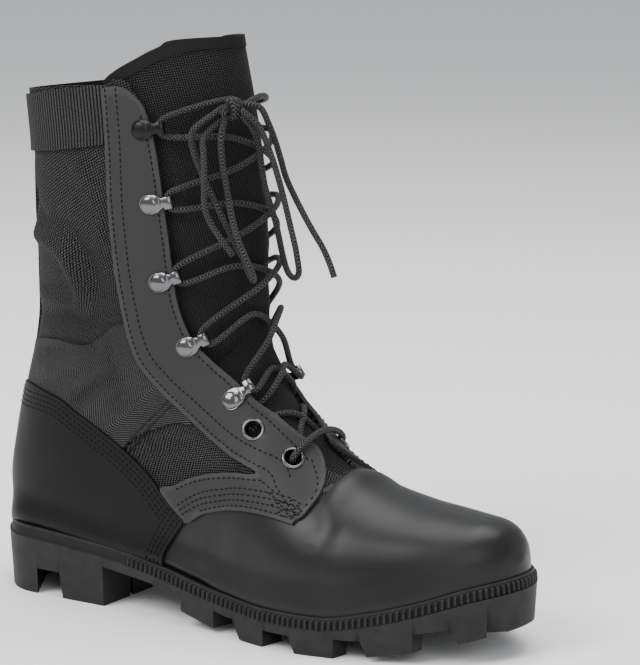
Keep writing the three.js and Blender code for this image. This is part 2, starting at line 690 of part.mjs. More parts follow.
function backstay() {
  const strip = overlay(webbingThickness, backstayOutline, 0);
  const half = backstayWidth / 2;
  const high = bootHeight + shaftRise;
  const backHalf = [[-outsideFoot, 0], [heelLength, 0], [heelLength, high], [-outsideFoot, high]];
  return strip.intersect(sideBlock(backHalf, -half, half));
}

// Fittings
const hookPlaces = [[24.22, 0.663], [22.35, 0.664], [19.62, 0.686], [16.04, 0.79], [12.37, 0.824]];
const hookTurns = [0, 6, 8, 13, 19]; // degrees, the arm's turn down towards the toe
const rimSamples = 12;
const eyeletPlaces = [[11.0, 0.835], [9.4, 0.90]];
const ventPlaces = [[11.42, 0.24], [10.55, 0.29]];

// A place on the form's surface at a share of a row's line, with its normal and its forward direction
function surfaceAt(row, share, side) {
  const { wide, low, top } = sectionAt(row);
  const level = share < wide
    ? (1 - share / wide) ** (low / 2)
    : -(((share - wide) / (1 - wide)) ** (top / 2));
  return surfaceTurn(row, side * Math.acos(level));
}

function surfaceTurn(row, angle) {
  const step = 0.02;
  const at = (r, a) => new THREE.Vector3(...formPoint(r, a));
  const along = at(row + step, angle).sub(at(row - step, angle));
  const around = at(row, angle + step).sub(at(row, angle - step));
  const normal = along.clone().cross(around).normalize();
  const point = at(row, angle);
  const centre = sectionAt(row);
  const middle = new THREE.Vector3(
    mix(centre.back[0], centre.front[0], centre.wide),
    centre.centre,
    mix(centre.back[1], centre.front[1], centre.wide),
  );
  if (normal.dot(point.clone().sub(middle)) < 0) normal.negate();
  const forward = around.multiplyScalar(Math.sin(angle) > 0 ? 1 : -1).normalize();
  return { point, normal, forward };
}

function lathe(profile, segments) {
  return solidOf(new THREE.LatheGeometry(profile.map(([r, z]) => new THREE.Vector2(r, z)), segments)
    .rotateX(Math.PI / 2));
}

function slab(width, depth, height, place) {
  return solidOf(new THREE.BoxGeometry(width, depth, height).translate(...place));
}

// A domed rivet with a clip that reaches forward over the lace to a cross bar
function speedHook() {
  const rivet = lathe([
    [0, 0], [hookRadius, 0], [hookRadius, 0.6], [hookRadius * 0.75, 1.6], [0, hookDome],
  ], 8);
  const armLift = 1.2;
  const arm = slab(hookReach, clipWidth, clipPlate, [hookReach / 2, 0, armLift]);
  const rise = slab(clipPlate, clipWidth, laceWidth, [hookReach, 0, armLift + (laceWidth - clipPlate) / 2]);
  const bar = slab(clipPlate * 2.5, barWidth, clipPlate, [hookReach, 0, armLift + laceWidth - clipPlate]);
  return joined([rivet, arm, rise, bar]);
}

function ringEyelet(outer, hole, height) {
  return lathe([
    [hole, 0], [outer, 0], [outer, height * 0.4], [(outer + hole) / 2, height], [hole, 0],
  ], 10);
}

function ventPlug() {
  return lathe([
    [0, 0], [ventRadius, 0], [ventRadius, 0.8], [ventRadius * 0.8, 1.3], [ventRadius * 0.65, 0.7], [0, 0.7],
  ], 12);
}

// Laces
const laceSteps = 3; // steps of a lace from one hook to the next
const laceLift = 5.6; // middle of the lace above the form beside the hooks
const laceDip = 3.3; // how far it sinks over the tongue
const laceSides = 5;
const hookLaceReach = 0.112; // from a hook's rivet to the lace, as a share of the row's line
const eyeletLaceReach = 0.05;
const knotPlace = [141, -18, 243];
const knotRadius = 6.6;
const knotShape = [0.85, 1, 0.9];
const knotGap = 1.1; // cord's square end to the knot's round side
const nearLaceEnd = [131, -21, 241.5];
const farLaceEnd = [143.5, -9, 244];

function cordSection(sideCount) {
  const outline = [];
  for (let i = 0; i < sideCount; i += 1) {
    const turn = 2 * Math.PI * i / sideCount;
    outline.push(new THREE.Vector2(laceWidth / 2 * Math.cos(turn), laceWidth / 2 * Math.sin(turn)));
  }
  return new THREE.Shape(outline);
}

function cordTube(points, steps, sideCount) {
  const path = new THREE.CatmullRomCurve3(points.map((p) => new THREE.Vector3(...p)), false, 'centripetal');
  const tube = new THREE.ExtrudeGeometry(cordSection(sideCount), { steps, extrudePath: path });
  return solidOf(tube);
}

const laceRows = [...eyeletPlaces].reverse().concat([...hookPlaces].reverse());

// The turn round the form at which a lace passes a hook or an eyelet
function laceTurn(level) {
  const [row, share] = laceRows[level];
  const reach = level < eyeletPlaces.length ? eyeletLaceReach : hookLaceReach;
  const { wide, top } = sectionAt(row);
  return Math.acos(-(((share + reach - wide) / (1 - wide)) ** (top / 2)));
}

function overForm(row, turn, lift) {
  const { point, normal } = surfaceTurn(row, turn);
  return point.addScaledVector(normal, lift).toArray();
}

function sunkLift(t) {
  return laceLift - laceDip * Math.sin(Math.PI * t) ** 2;
}

// One lace from side to side up the throat, close over the tongue between the hooks
function laceStrand(firstSide) {
  const points = [];
  let side = firstSide;
  laceRows.forEach(([row], level) => {
    const from = side < 0 ? 2 * Math.PI - laceTurn(level) : laceTurn(level);
    points.push(overForm(row, from, laceLift));
    side = -side;
    if (level === laceRows.length - 1) return;
    const next = laceRows[level + 1][0];
    const to = side < 0 ? 2 * Math.PI - laceTurn(level + 1) : laceTurn(level + 1);
    [0.25, 0.5, 0.75].forEach((t) => {
      points.push(overForm(mix(row, next, t), mix(from, to, t), sunkLift(t)));
    });
  });
  return points;
}

// The place beside the knot where a cord that comes from a point meets it
function atKnot(from) {
  const away = new THREE.Vector3(...from.map((value, i) => value - knotPlace[i]));
  const stretched = new THREE.Vector3(...away.toArray().map((value, i) => value / knotShape[i]));
  const reach = knotRadius / stretched.length() + knotGap / away.length();
  return knotPlace.map((value, i) => value + away.getComponent(i) * reach);
}

function lacing() {
  const bottomTurn = laceTurn(0);
  const bar = [0, 0.25, 0.5, 0.75, 1].map((t) => (
    overForm(laceRows[0][0], mix(bottomTurn, 2 * Math.PI - bottomTurn, t), sunkLift(t))
  ));
  const topRow = laceRows[laceRows.length - 1][0];
  const topTurn = laceTurn(laceRows.length - 1);
  const near = [
    overForm(topRow, 2 * Math.PI - topTurn, laceLift),
    overForm(topRow + 0.1, 2 * Math.PI - topTurn - 0.25, laceLift),
    atKnot(nearLaceEnd),
  ];
  const far = [topTurn, mix(topTurn, Math.PI, 0.5), Math.PI].map((turn, i) => (
    overForm(topRow + 0.12 * i, turn, laceLift)
  ));
  far.push(atKnot(farLaceEnd));
  return joined([
    cordTube(laceStrand(-1), (laceRows.length - 1) * laceSteps, laceSides),
    cordTube(laceStrand(1), (laceRows.length - 1) * laceSteps, laceSides),
    cordTube(bar, laceSteps, laceSides),
    cordTube(near, 3, laceSides),
    cordTube(far, laceSteps, laceSides),
  ]);
}

// The bow: routes of its loops and ends, chosen by eye
const bowRoutes = {
  loop_outer: [
    [135, -24.5, 244.5], [129.1, -33.6, 232.6], [129.1, -32.6, 225], [132.3, -30.8, 214.3], [136.2, -29.2, 205.2],
    [140.7, -27.8, 195.4], [143.4, -23.8, 185.9], [145, -20.8, 179.5], [146.5, -18.2, 174.2], [147.9, -17.1, 169.2],
    [150.3, -18.1, 166.3], [153.4, -20.7, 165], [156.1, -23.9, 165.8], [157.3, -26.5, 168.5], [156.6, -27.5, 171.9],
    [154.3, -28.2, 176.9], [150.4, -28, 184.6], [146.6, -27, 193.4], [143.3, -26, 205.3], [140.9, -26, 217.4],
    [140.4, -26.5, 230.3], [138.5, -24.5, 237.5],
  ],
  end_outer: [
    [135.6, -21.8, 236.3], [133.2, -30, 230.3], [135.1, -33, 223.8], [136.3, -34.6, 216.5], [136.2, -34.4, 207.3],
    [135.7, -33, 197.9], [137.7, -31.5, 191.4], [142.6, -30, 183.9], [148, -28.6, 176.8],
  ],
  loop_inner: [
    [147.4, -15.5, 239], [147.7, -10.5, 232.4], [148.8, -8, 225.3], [149.3, -6.5, 216], [150.1, -5, 206.6],
    [152.8, -4.8, 198.3], [154.1, -2.8, 191.1], [153.8, 0.8, 182.9], [153.6, 4, 174.7], [155.3, 4.6, 167.8],
    [157.7, 3.7, 164.8], [161.6, 1.4, 163.7], [165.5, -1.4, 164.9], [167.9, -3.7, 168], [168, -4.6, 171.7],
    [167.1, -5.5, 179.3], [164.9, -6, 188.4], [162.9, -6.5, 196.8], [161, -7, 204.4], [159.2, -8, 212.1],
    [157.1, -9.5, 220.5], [154.4, -11, 228.9], [151.7, -13, 235.8], [149.2, -17.8, 242.5],
  ],
  end_inner: [
    [146.2, -13.2, 247], [149.9, -8.8, 243.4], [153, -6, 235.7], [154.7, -3.5, 228.3], [156.7, -1.5, 219],
    [158.6, -0.5, 211.3], [162.7, 0, 203], [167.7, 0, 194.9], [173.1, 0, 186.8], [178.5, 0, 179.4], [182.1, 0, 172.8],
    [184.9, 0, 166],
  ],
};
const bowSteps = { loop_outer: 24, end_outer: 8, loop_inner: 24, end_inner: 9 };
const bowSides = 6;

function knot() {
  return solidOf(new THREE.SphereGeometry(knotRadius, 10, 7).scale(...knotShape)).translate(knotPlace);
}

// The boot
const boot = new THREE.Group();

function addPiece(parent, name, solid, look) {
  const piece = new THREE.Mesh(geometryOf(solid), new THREE.MeshStandardMaterial(look));
  piece.name = name;
  parent.add(piece);
  return piece;
}

// How far above a flat fitting's middle the leather's facets reach under it
function rimHeight(ground, { point, normal, forward }, radius) {
  const across = normal.clone().cross(forward);
  const down = normal.clone().negate();
  const heights = [];
  for (let i = 0; i < rimSamples; i += 1) {
    const turn = 2 * Math.PI * i / rimSamples;
    const above = point.clone().addScaledVector(normal, blockReach)
      .addScaledVector(forward, radius * Math.cos(turn))
      .addScaledVector(across, radius * Math.sin(turn));
    const hits = new THREE.Raycaster(above, down).intersectObject(ground);
    heights.push(blockReach - hits[0].distance);
  }
  return Math.max(...heights);
}

function addFitting(name, solid, [row, share], side, { ground, radius }, look, turn = 0) {
  const seat = surfaceAt(row, share, side);
  const turnedBy = side * turn * Math.PI / 180;
  seat.forward.applyAxisAngle(seat.normal, turnedBy);
  const piece = addPiece(boot, name, solid, look);
  const across = seat.normal.clone().cross(seat.forward);
  const lift = rimHeight(ground, seat, radius) + seamGap;
  piece.quaternion.setFromRotationMatrix(new THREE.Matrix4().makeBasis(seat.forward, across, seat.normal));
  piece.position.copy(seat.point).addScaledVector(seat.normal, lift);
  return piece;
}

addPiece(boot, 'outsole', outsole(), rubberBlack);
addPiece(boot, 'insole', insole(), insoleGrey);
addPiece(boot, 'upper', upper(), nylonBlack);
addPiece(boot, 'tongue', tongue(), nylonBlack);
[['outer', -1], ['inner', 1]].forEach(([name, side]) => {
  addPiece(boot, `eyestay_${name}`, overlay(leatherThickness, [...eyestayRear, ...eyestayFront], side), leatherBlack);
  addPiece(boot, `saddle_${name}`, overlay(leatherThickness, saddleOutline, side), leatherBlack);
});
addPiece(boot, 'heel_counter', overlay(leatherThickness, counterOutline, 0), leatherBlack);
addPiece(boot, 'collar_band', overlay(webbingThickness, bandOutline, 0), webbingBlack);
addPiece(boot, 'backstay', backstay(), webbingBlack);

const onLeather = new THREE.Mesh(geometryOf(form(seamGap + leatherThickness)));
const onUpper = new THREE.Mesh(geometryOf(form(0)));
[['outer', -1], ['inner', 1]].forEach(([name, side]) => {
  hookPlaces.forEach((place, i) => {
    const ground = { ground: onLeather, radius: hookRadius };
    addFitting(`hook_${name}_${i + 1}`, speedHook(), place, side, ground, nickel, hookTurns[i]);
  });
  eyeletPlaces.forEach((place, i) => {
    const ring = ringEyelet(eyeletRadius, eyeletHole, eyeletHeight);
    addFitting(`eyelet_${name}_${i + 1}`, ring, place, side, { ground: onLeather, radius: eyeletRadius }, nickel);
  });
});
ventPlaces.forEach((place, i) => {
  addFitting(`vent_${i + 1}`, ventPlug(), place, 1, { ground: onUpper, radius: ventRadius }, nickel);
});
addPiece(boot, 'lacing', lacing(), laceBlack);
addPiece(boot, 'bow_knot', knot(), laceBlack);
Object.entries(bowRoutes).forEach(([name, route]) => {
  const path = [atKnot(route[0]), ...route.slice(1)];
  if (name.startsWith('loop')) path[path.length - 1] = atKnot(path[path.length - 1]);
  addPiece(boot, `bow_${name}`, cordTube(path, bowSteps[name], bowSides), laceBlack);
});

// The middle of the heel's island stands on the origin
boot.position.set(-islandX, -islandY, 0);

const model = new THREE.Group();
model.add(boot);

export default model;
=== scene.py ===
# Jungle boot for the right foot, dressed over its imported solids. Metres; X to the toe, Z up.
import math

import bmesh
import bpy
import numpy as np
from mathutils import Matrix, Vector


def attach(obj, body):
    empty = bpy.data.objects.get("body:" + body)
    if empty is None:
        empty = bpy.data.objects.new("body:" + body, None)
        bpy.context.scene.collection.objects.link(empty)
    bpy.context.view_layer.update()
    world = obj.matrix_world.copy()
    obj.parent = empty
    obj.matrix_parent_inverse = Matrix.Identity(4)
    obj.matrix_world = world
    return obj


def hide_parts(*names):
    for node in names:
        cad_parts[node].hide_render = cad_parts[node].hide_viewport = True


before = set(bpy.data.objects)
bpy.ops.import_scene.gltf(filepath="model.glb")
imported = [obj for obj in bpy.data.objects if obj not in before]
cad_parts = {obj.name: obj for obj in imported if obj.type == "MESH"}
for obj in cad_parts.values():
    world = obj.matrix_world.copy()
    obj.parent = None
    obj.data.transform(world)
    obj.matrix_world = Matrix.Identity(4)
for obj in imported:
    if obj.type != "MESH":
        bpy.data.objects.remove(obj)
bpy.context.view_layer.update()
mm = 0.001
farAway = 1e3  # millimetres, beyond anything on the boot
rowOrigin = np.array([41.75, -5.68, 0.0])  # the shoe's own millimetres start at the back of the heel


def toRow(points):
    return (np.asarray(points, float) - rowOrigin) * mm


# Camera
camera = {"target": (140, 0, 110), "azimuth": 33.8, "height": 11.5, "roll": -0.34,
          "distance": 1200, "lens": 136.7, "shiftX": 0.0992, "shiftY": 0.0805}


def placeCamera(view):
    azimuth, height, roll = (math.radians(view[k]) for k in ("azimuth", "height", "roll"))
    back = Vector((math.sin(azimuth) * math.cos(height), -math.cos(azimuth) * math.cos(height), math.sin(height)))
    level = Vector((math.cos(azimuth), math.sin(azimuth), 0))
    over = back.cross(level)
    right = math.cos(roll) * level + math.sin(roll) * over
    up = math.cos(roll) * over - math.sin(roll) * level
    eye = bpy.data.objects.new("camera", bpy.data.cameras.new("camera"))
    bpy.context.scene.collection.objects.link(eye)
    place = Vector(toRow(view["target"])) + back * view["distance"] * mm
    turn = Matrix((right, up, back)).transposed().to_4x4()
    eye.matrix_world = Matrix.Translation(place) @ turn
    eye.data.lens = view["lens"]
    eye.data.sensor_width = 36
    eye.data.shift_x, eye.data.shift_y = view["shiftX"], view["shiftY"]
    bpy.context.scene.camera = eye


placeCamera(camera)
print("camera placed")


# Curves through small tables
def curveThrough(at, to):
    at, to = np.asarray(at, float), np.asarray(to, float)
    slope = np.diff(to) / np.diff(at)
    lean = np.zeros(len(at))
    lean[0], lean[-1] = slope[0], slope[-1]
    for i in range(1, len(at) - 1):
        if slope[i - 1] * slope[i] > 0:
            before, after = at[i] - at[i - 1], at[i + 1] - at[i]
            near, far = 2 * after + before, after + 2 * before
            lean[i] = (near + far) / (near / slope[i - 1] + far / slope[i])

    def curve(place):
        x = np.clip(place, at[0], at[-1])
        k = np.clip(np.searchsorted(at, x, side="right") - 1, 0, len(at) - 2)
        span = at[k + 1] - at[k]
        t = (x - at[k]) / span
        rise = 3 * t * t - 2 * t ** 3
        return (to[k] * (1 - rise) + to[k + 1] * rise
                + span * lean[k] * (t - 2 * t * t + t ** 3) + span * lean[k + 1] * (t ** 3 - t * t))
    return curve


def smooth(low, high, x):
    t = np.clip((np.asarray(x, float) - low) / (high - low), 0, 1)
    return t * t * (3 - 2 * t)


def mix(a, b, t):
    return a + (b - a) * t


def unitRows(steps):
    return steps / np.linalg.norm(steps, axis=1, keepdims=True)


def runAlong(line):
    # The way along a line to each of its points
    return np.concatenate([[0], np.cumsum(np.linalg.norm(np.diff(line, axis=0), axis=1))])


def placesAt(at, run, line):
    return np.stack([np.interp(at, run, line[:, k]) for k in range(line.shape[1])], -1)


def sideFaces(rings, around, first=0):
    # Four-sided faces between rings of equally many points
    faces = []
    for r in range(rings - 1):
        for i in range(around):
            a, b = first + r * around + i, first + r * around + (i + 1) % around
            faces.append([a, b, b + around, a + around])
    return faces


def endFaces(rings, around, first=0):
    return [[first + i for i in range(around)][::-1], [first + (rings - 1) * around + i for i in range(around)]]


def joinParts(parts):
    # One list of points and one of faces from several parts
    points, faces = [], []
    for part in parts:
        faces += [[i + len(points) for i in face] for face in part[1]]
        points += list(part[0])
    return np.array(points), faces


def settle(piece, slot, *nodes):
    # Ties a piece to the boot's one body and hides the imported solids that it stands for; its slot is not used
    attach(piece, "root")
    if nodes:
        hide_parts(*nodes)


# Sole sizes, in millimetres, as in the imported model
sole = {"length": 286, "ball": 101, "heelWide": 71, "heelHigh": 34, "ballHigh": 18.5, "toeHigh": 38.5,
        "toeSpring": 15, "heelLong": 75.5, "breast": 20, "tread": 8, "heelTread": 13, "taper": 1.8,
        "ribPitch": 2.9, "ribDeep": 1.3, "ribBand": 5, "lip": 1.0, "lipInset": 2.4, "heelLip": 1.2, "outside": 20}
upperSize = {"high": 243, "instep": 58, "shaftWide": 72, "wall": 2, "leather": 1.7, "webbing": 1.5,
             "tongue": 3, "gap": 0.3, "tuck": 8}
shaftRise = upperSize["high"] - sole["heelHigh"]
leatherTop = upperSize["gap"] + upperSize["leather"]

seatAlong = (0, .10, .26, .40, .52, .62, .72, .80, .88, .95, 1)
seatHeel = curveThrough(seatAlong, (1.04, 1, .80, .50, .15, 0, 0, 0, 0, 0, 0))
seatToe = curveThrough(seatAlong, (0, 0, 0, 0, 0, 0, 0, .20, .52, .85, 1))


def seatHeight(x):
    along = np.asarray(x, float) / sole["length"]
    return (sole["ballHigh"] + seatHeel(along) * (sole["heelHigh"] - sole["ballHigh"])
            + seatToe(along) * (sole["toeHigh"] - sole["ballHigh"]))


outlineAlong = (0, .15, .26, .31, .36, .43, .50, .56, .63, .69, .74, .82, .86, .93, 1)
outlineHalf = curveThrough(outlineAlong, (.497, .503, .493, .478, .455, .427, .424, .436, .473, .495, .486,
                                          .444, .419, .394, .376))
outlineSwing = curveThrough(outlineAlong, (0, -.018, -.026, -.046, -.063, -.081, -.071, -.056, -.037, -.018,
                                           -.002, .017, .030, .044, .052))
heelRound, toeRound = 0.105, 0.175


def footWidth(x):
    return mix(sole["heelWide"], sole["ball"], smooth(0.30, 0.62, np.asarray(x) / sole["length"]))


def halfWidth(x):
    along = np.asarray(x, float) / sole["length"]
    heelTurn = np.maximum(1 - along / heelRound, 0)
    toeTurn = np.maximum((along - 1 + toeRound) / toeRound, 0)
    ends = np.sqrt(np.maximum(1 - heelTurn ** 2, 0) * np.maximum(1 - toeTurn ** 2, 0))
    return outlineHalf(along) * footWidth(x) * ends


def centreLine(x):
    return outlineSwing(np.asarray(x) / sole["length"]) * sole["ball"]


# The form of the upper: sections from the toe round the instep and up the leg
formTable = np.array([
    # backX, backUp, frontX, fore, shaftUp, half, swing, leg
    (.980, .065, .980, .16, .000, .030, .050, 0), (.976, .042, .976, .26, .000, .104, .050, 0),
    (.965, .029, .965, .35, .000, .163, .048, 0), (.941, .020, .941, .44, .000, .233, .042, 0),
    (.902, .014, .902, .53, .000, .297, .036, 0), (.850, .008, .850, .64, .000, .356, .026, 0),
    (.797, .006, .797, .75, .000, .394, .010, 0), (.741, .006, .745, .87, .000, .422, -.006, 0),
    (.682, .006, .691, 1.0, .000, .430, -.022, 0), (.615, .006, .640, 1.0, .045, .410, -.034, 0),
    (.542, .006, .598, 1.0, .108, .380, -.041, 0), (.462, .006, .566, 1.0, .160, .475, -.039, 1),
    (.371, .005, .547, 1.0, .212, .453, -.032, 1), (.266, .004, .534, 1.0, .259, .453, -.024, 1),
    (.154, .001, .527, 1.0, .303, .458, -.018, 1), (.066, .003, .525, 1.0, .341, .461, -.016, 1),
    (.021, .034, .525, 1.0, .372, .463, -.015, 1), (.010, .120, .525, 1.0, .403, .464, -.014, 1),
    (.021, .226, .524, 1.0, .436, .464, -.010, 1), (.040, .351, .522, 1.0, .474, .458, -.006, 1),
    (.059, .457, .520, 1.0, .512, .458, -.002, 1), (.068, .553, .518, 1.0, .555, .469, .000, 1),
    (.068, .663, .515, 1.0, .608, .483, .000, 1), (.065, .783, .509, 1.0, .670, .493, .000, 1),
    (.065, .907, .500, 1.0, .742, .500, .000, 1), (.058, 1.031, .488, 1.0, .821, .500, .000, 1),
    (.049, 1.155, .474, 1.0, .909, .493, .000, 1), (.045, 1.213, .467, 1.0, .962, .486, .000, 1),
])
lastRow = len(formTable) - 1
formCurves = [curveThrough(range(lastRow + 1), formTable[:, k]) for k in range(8)]
fullRows = (0, 4, 7, 9, 12, 16, 21, 27)
fullCurves = [curveThrough(fullRows, values) for values in (
    (.40, .40, .36, .34, .36, .42, .45, .46), (2.4, 3.4, 4.0, 4.0, 3.2, 2.5, 2.2, 2.2),
    (2.2, 2.2, 2.1, 1.9, 1.9, 1.9, 1.9, 1.9))]


def sectionAt(row):
    backX, backUp, frontX, fore, shaftUp, half, swing, leg = (curve(row) for curve in formCurves)
    wide, low, top = (curve(row) for curve in fullCurves)
    backX, frontX = backX * sole["length"], frontX * sole["length"]
    backZ = seatHeight(backX) - upperSize["tuck"] + backUp * shaftRise
    frontZ = seatHeight(frontX) + fore * upperSize["instep"] + shaftUp * shaftRise
    reach = half * mix(footWidth((backX + frontX) / 2), upperSize["shaftWide"], leg)
    return backX, backZ, frontX, frontZ, swing * sole["ball"], reach, wide, low, top


def formPoint(row, angle):
    backX, backZ, frontX, frontZ, centre, reach, wide, low, top = sectionAt(row)
    level, aside = np.cos(angle), np.sin(angle)
    power = 2 / np.where(level > 0, low, top)
    bend = np.abs(level) ** power
    share = np.where(level > 0, wide * (1 - bend), wide + (1 - wide) * bend)
    across = np.sign(aside) * reach * np.abs(aside) ** power
    return np.stack([mix(backX, frontX, share), centre + across, mix(backZ, frontZ, share)], -1)


def sidePoint(row, share):
    backX, backZ, frontX, frontZ = sectionAt(np.asarray(row, float))[:4]
    return np.stack([mix(backX, frontX, share), mix(backZ, frontZ, share)], -1)


def formAngle(row, share, side):
    wide, low, top = sectionAt(np.asarray(row, float))[6:]
    level = np.where(share < wide, np.maximum(1 - share / wide, 0) ** (low / 2),
                     -(np.maximum(share - wide, 0) / (1 - wide)) ** (top / 2))
    return side * np.arccos(np.clip(level, -1, 1))


def formSeat(row, angle):
    # A point of the form, the way out of it there, and the way to the throat along it
    step = 0.02
    point = formPoint(row, angle)
    along = formPoint(row + step, angle) - formPoint(row - step, angle)
    around = formPoint(row, angle + step) - formPoint(row, angle - step)
    normal = np.cross(along, around)
    normal /= np.linalg.norm(normal)
    section = sectionAt(row)
    (backX, backZ, frontX, frontZ, centre), wide = section[:5], section[6]
    middle = np.array([mix(backX, frontX, wide), centre, mix(backZ, frontZ, wide)])
    if normal @ (point - middle) < 0:
        normal = -normal
    forward = around / np.linalg.norm(around) * (1 if math.sin(angle) > 0 else -1)
    return point, normal, forward


# A fine, even grid of the form, with smooth normals and distances along and round it
grid = {"rowsPerSection": 9, "columns": 184, "tries": 361}
flare = {"inset": 3.2, "most": 7.0, "under": -9, "low": 1.5, "high": 17.0, "edgeSteps": 160}


def flareToSole(points):
    # The leather comes straight down on the sole's lip instead of turning under
    x = sole["length"] * (1 - np.cos(np.linspace(0, math.pi, flare["edgeSteps"]))) / 2
    edge = np.concatenate([np.stack([x, centreLine(x) + halfWidth(x)], -1),
                           np.stack([x, centreLine(x) - halfWidth(x)], -1)[::-1]])
    high = points[:, :, 2] - seatHeight(points[:, :, 0])
    low = (high > flare["under"]) & (high < flare["high"])
    flat = points[low][:, :2]
    best, target = np.full(len(flat), np.inf), flat.copy()
    for a, b in zip(edge, np.roll(edge, -1, axis=0)):
        along = b - a
        t = np.clip(((flat - a) @ along) / max(along @ along, 1e-9), 0, 1)[:, None]
        away = np.linalg.norm(a + t * along - flat, axis=1)
        nearer = away < best
        best[nearer], target[nearer] = away[nearer], (a + t * along)[nearer]
    push = np.clip(best - flare["inset"], 0, flare["most"]) * (1 - smooth(flare["low"], flare["high"], high[low]))
    moved = points[low]
    moved[:, :2] += (target - flat) / np.maximum(best, 1e-6)[:, None] * push[:, None]
    points[low] = moved
    return points


def buildGrid(values):
    rows = np.linspace(0, lastRow, lastRow * values["rowsPerSection"] + 1)
    dense = np.linspace(0, math.pi, values["tries"])
    half = values["columns"] // 2
    points, angles = [], []
    for row in rows:
        ring = formPoint(row, dense)
        run = runAlong(ring)
        even = np.interp(np.linspace(0, run[-1], half + 1), run, dense)
        turn = np.concatenate([even, 2 * math.pi - even[-2:0:-1]])
        angles.append(turn)
        points.append(formPoint(row, turn))
    points = flareToSole(np.array(points))
    along = np.gradient(points, axis=0)
    around = np.roll(points, -1, axis=1) - np.roll(points, 1, axis=1)
    normals = np.cross(around, along)
    normals /= np.maximum(np.linalg.norm(normals, axis=2, keepdims=True), 1e-9)
    middle = points.mean(axis=1, keepdims=True)
    if (normals * (points - middle)).sum() < 0:
        normals = -normals
    girth = np.linalg.norm(np.diff(points, axis=1, append=points[:, :1]), axis=2)
    girth = np.concatenate([np.zeros((len(rows), 1)), np.cumsum(girth, axis=1)[:, :-1]], axis=1)
    total = girth[:, -1:] + np.linalg.norm(points[:, :1] - points[:, -1:], axis=2)
    rise = np.linalg.norm(np.diff(points, axis=0), axis=2).mean(axis=1)
    rise = np.concatenate([[0], np.cumsum(rise)])
    return {"rows": rows, "angles": np.array(angles), "points": points, "normals": normals,
            "fromBack": np.where(girth < total / 2, girth, girth - total), "fromFront": girth - total / 2,
            "rise": np.repeat(rise[:, None], values["columns"], axis=1)}


skin = buildGrid(grid)
print("form of the upper:", skin["points"].shape)


# Outlines seen from the side, each point a row of the form and a share of that row's line
collarLine = [(25.15, -.5), (25.2, .05), (25.25, .30), (25.25, .52), (25.35, .57), (25.3, .62)]
throatEdge = [(25.1, .645), (24.6, .675), (23.6, .695), (21.6, .705), (20.2, .715), (18.5, .745), (16.3, .795),
              (14.3, .825), (12.8, .855), (11.4, .895), (10.3, .94), (9.4, .965), (8.7, .97), (8.0, 1.04),
              (8.0, 1.6)]
eyestayOutline = [
    (25.2, .52), (24.0, .51), (22.8, .50), (21.5, .50), (20.5, .51), (19.5, .54), (18.2, .59), (16.8, .64),
    (14.9, .675), (13.6, .67), (12.7, .665), (12.0, .665), (11.0, .69), (9.93, .74), (9.5, .722), (9.05, .70),
    (8.6, .675), (8.36, .735), (8.22, .834), (8.2, .88), (8.35, .94), (8.9, .985), (9.6, .975), (10.4, .95),
    (11.4, .91), (12.8, .87), (14.3, .84), (16.3, .81), (18.5, .76), (20.2, .73), (21.6, .72), (23.6, .71),
    (24.6, .69), (25.0, .655), (25.2, .60)]
counterOutline = [(19.02, -.3), (19.02, .017), (18.08, .269), (16.84, .403), (15.42, .467), (14.34, .457),
                  (13.62, .433), (13.05, .399), (12.63, .364), (12.23, .328), (11.8, .30), (11.91, .211),
                  (11.94, .124), (11.85, .04), (11.8, -.3), (14.5, -.3), (16.5, -.4)]
saddleOutline = [(12.8, .30), (12.75, .38), (12.45, .42), (12.23, .47), (11.79, .535), (11.19, .607), (10.5, .679),
                 (9.9, .745), (9.4, .76), (8.6, .70), (8.56, .66), (9.34, .606), (10.08, .537), (10.54, .491),
                 (11.06, .427), (11.42, .37), (11.75, .29), (12.2, .27)]
bandOutline = [(25.1, -.3), (25.1, .05), (25.2, .30), (25.25, .56), (24.0, .55), (24.0, .25), (24.1, -.3)]
backstayOutline = [(23.9, -.3), (23.9, .3), (18.7, .12), (18.7, -.3)]
tongueOutline = [(25.3, .52), (25.5, .58), (25.7, .66), (26.0, .76), (26.3, .88), (26.4, 1.5),
                 (7.0, 1.5), (7.2, .92), (8.4, .86), (10.2, .82), (12.8, .76), (16.3, .71), (18.5, .65),
                 (20.5, .61), (22.8, .60), (24.4, .56), (25.0, .49)]
vampLine = [(12.6, -.3), (12.6, .15), (12.35, .31), (11.9, .40), (11.3, .49), (10.7, .56), (10.0, .63),
            (9.3, .69), (8.7, .75), (8.4, .85), (8.2, .93), (8.0, 1.0), (7.95, 1.3)]
# The ribbed strap over the ankle is drawn in millimetres from the side
ankleStrap = [(4, 118), (30, 126), (45, 128), (60, 127), (72, 130), (84, 139), (100, 140), (135, 98), (126, 95),
              (117, 95.5), (108, 92), (100, 89), (92, 84), (84, 78), (60, 80), (20, 90), (2, 100)]


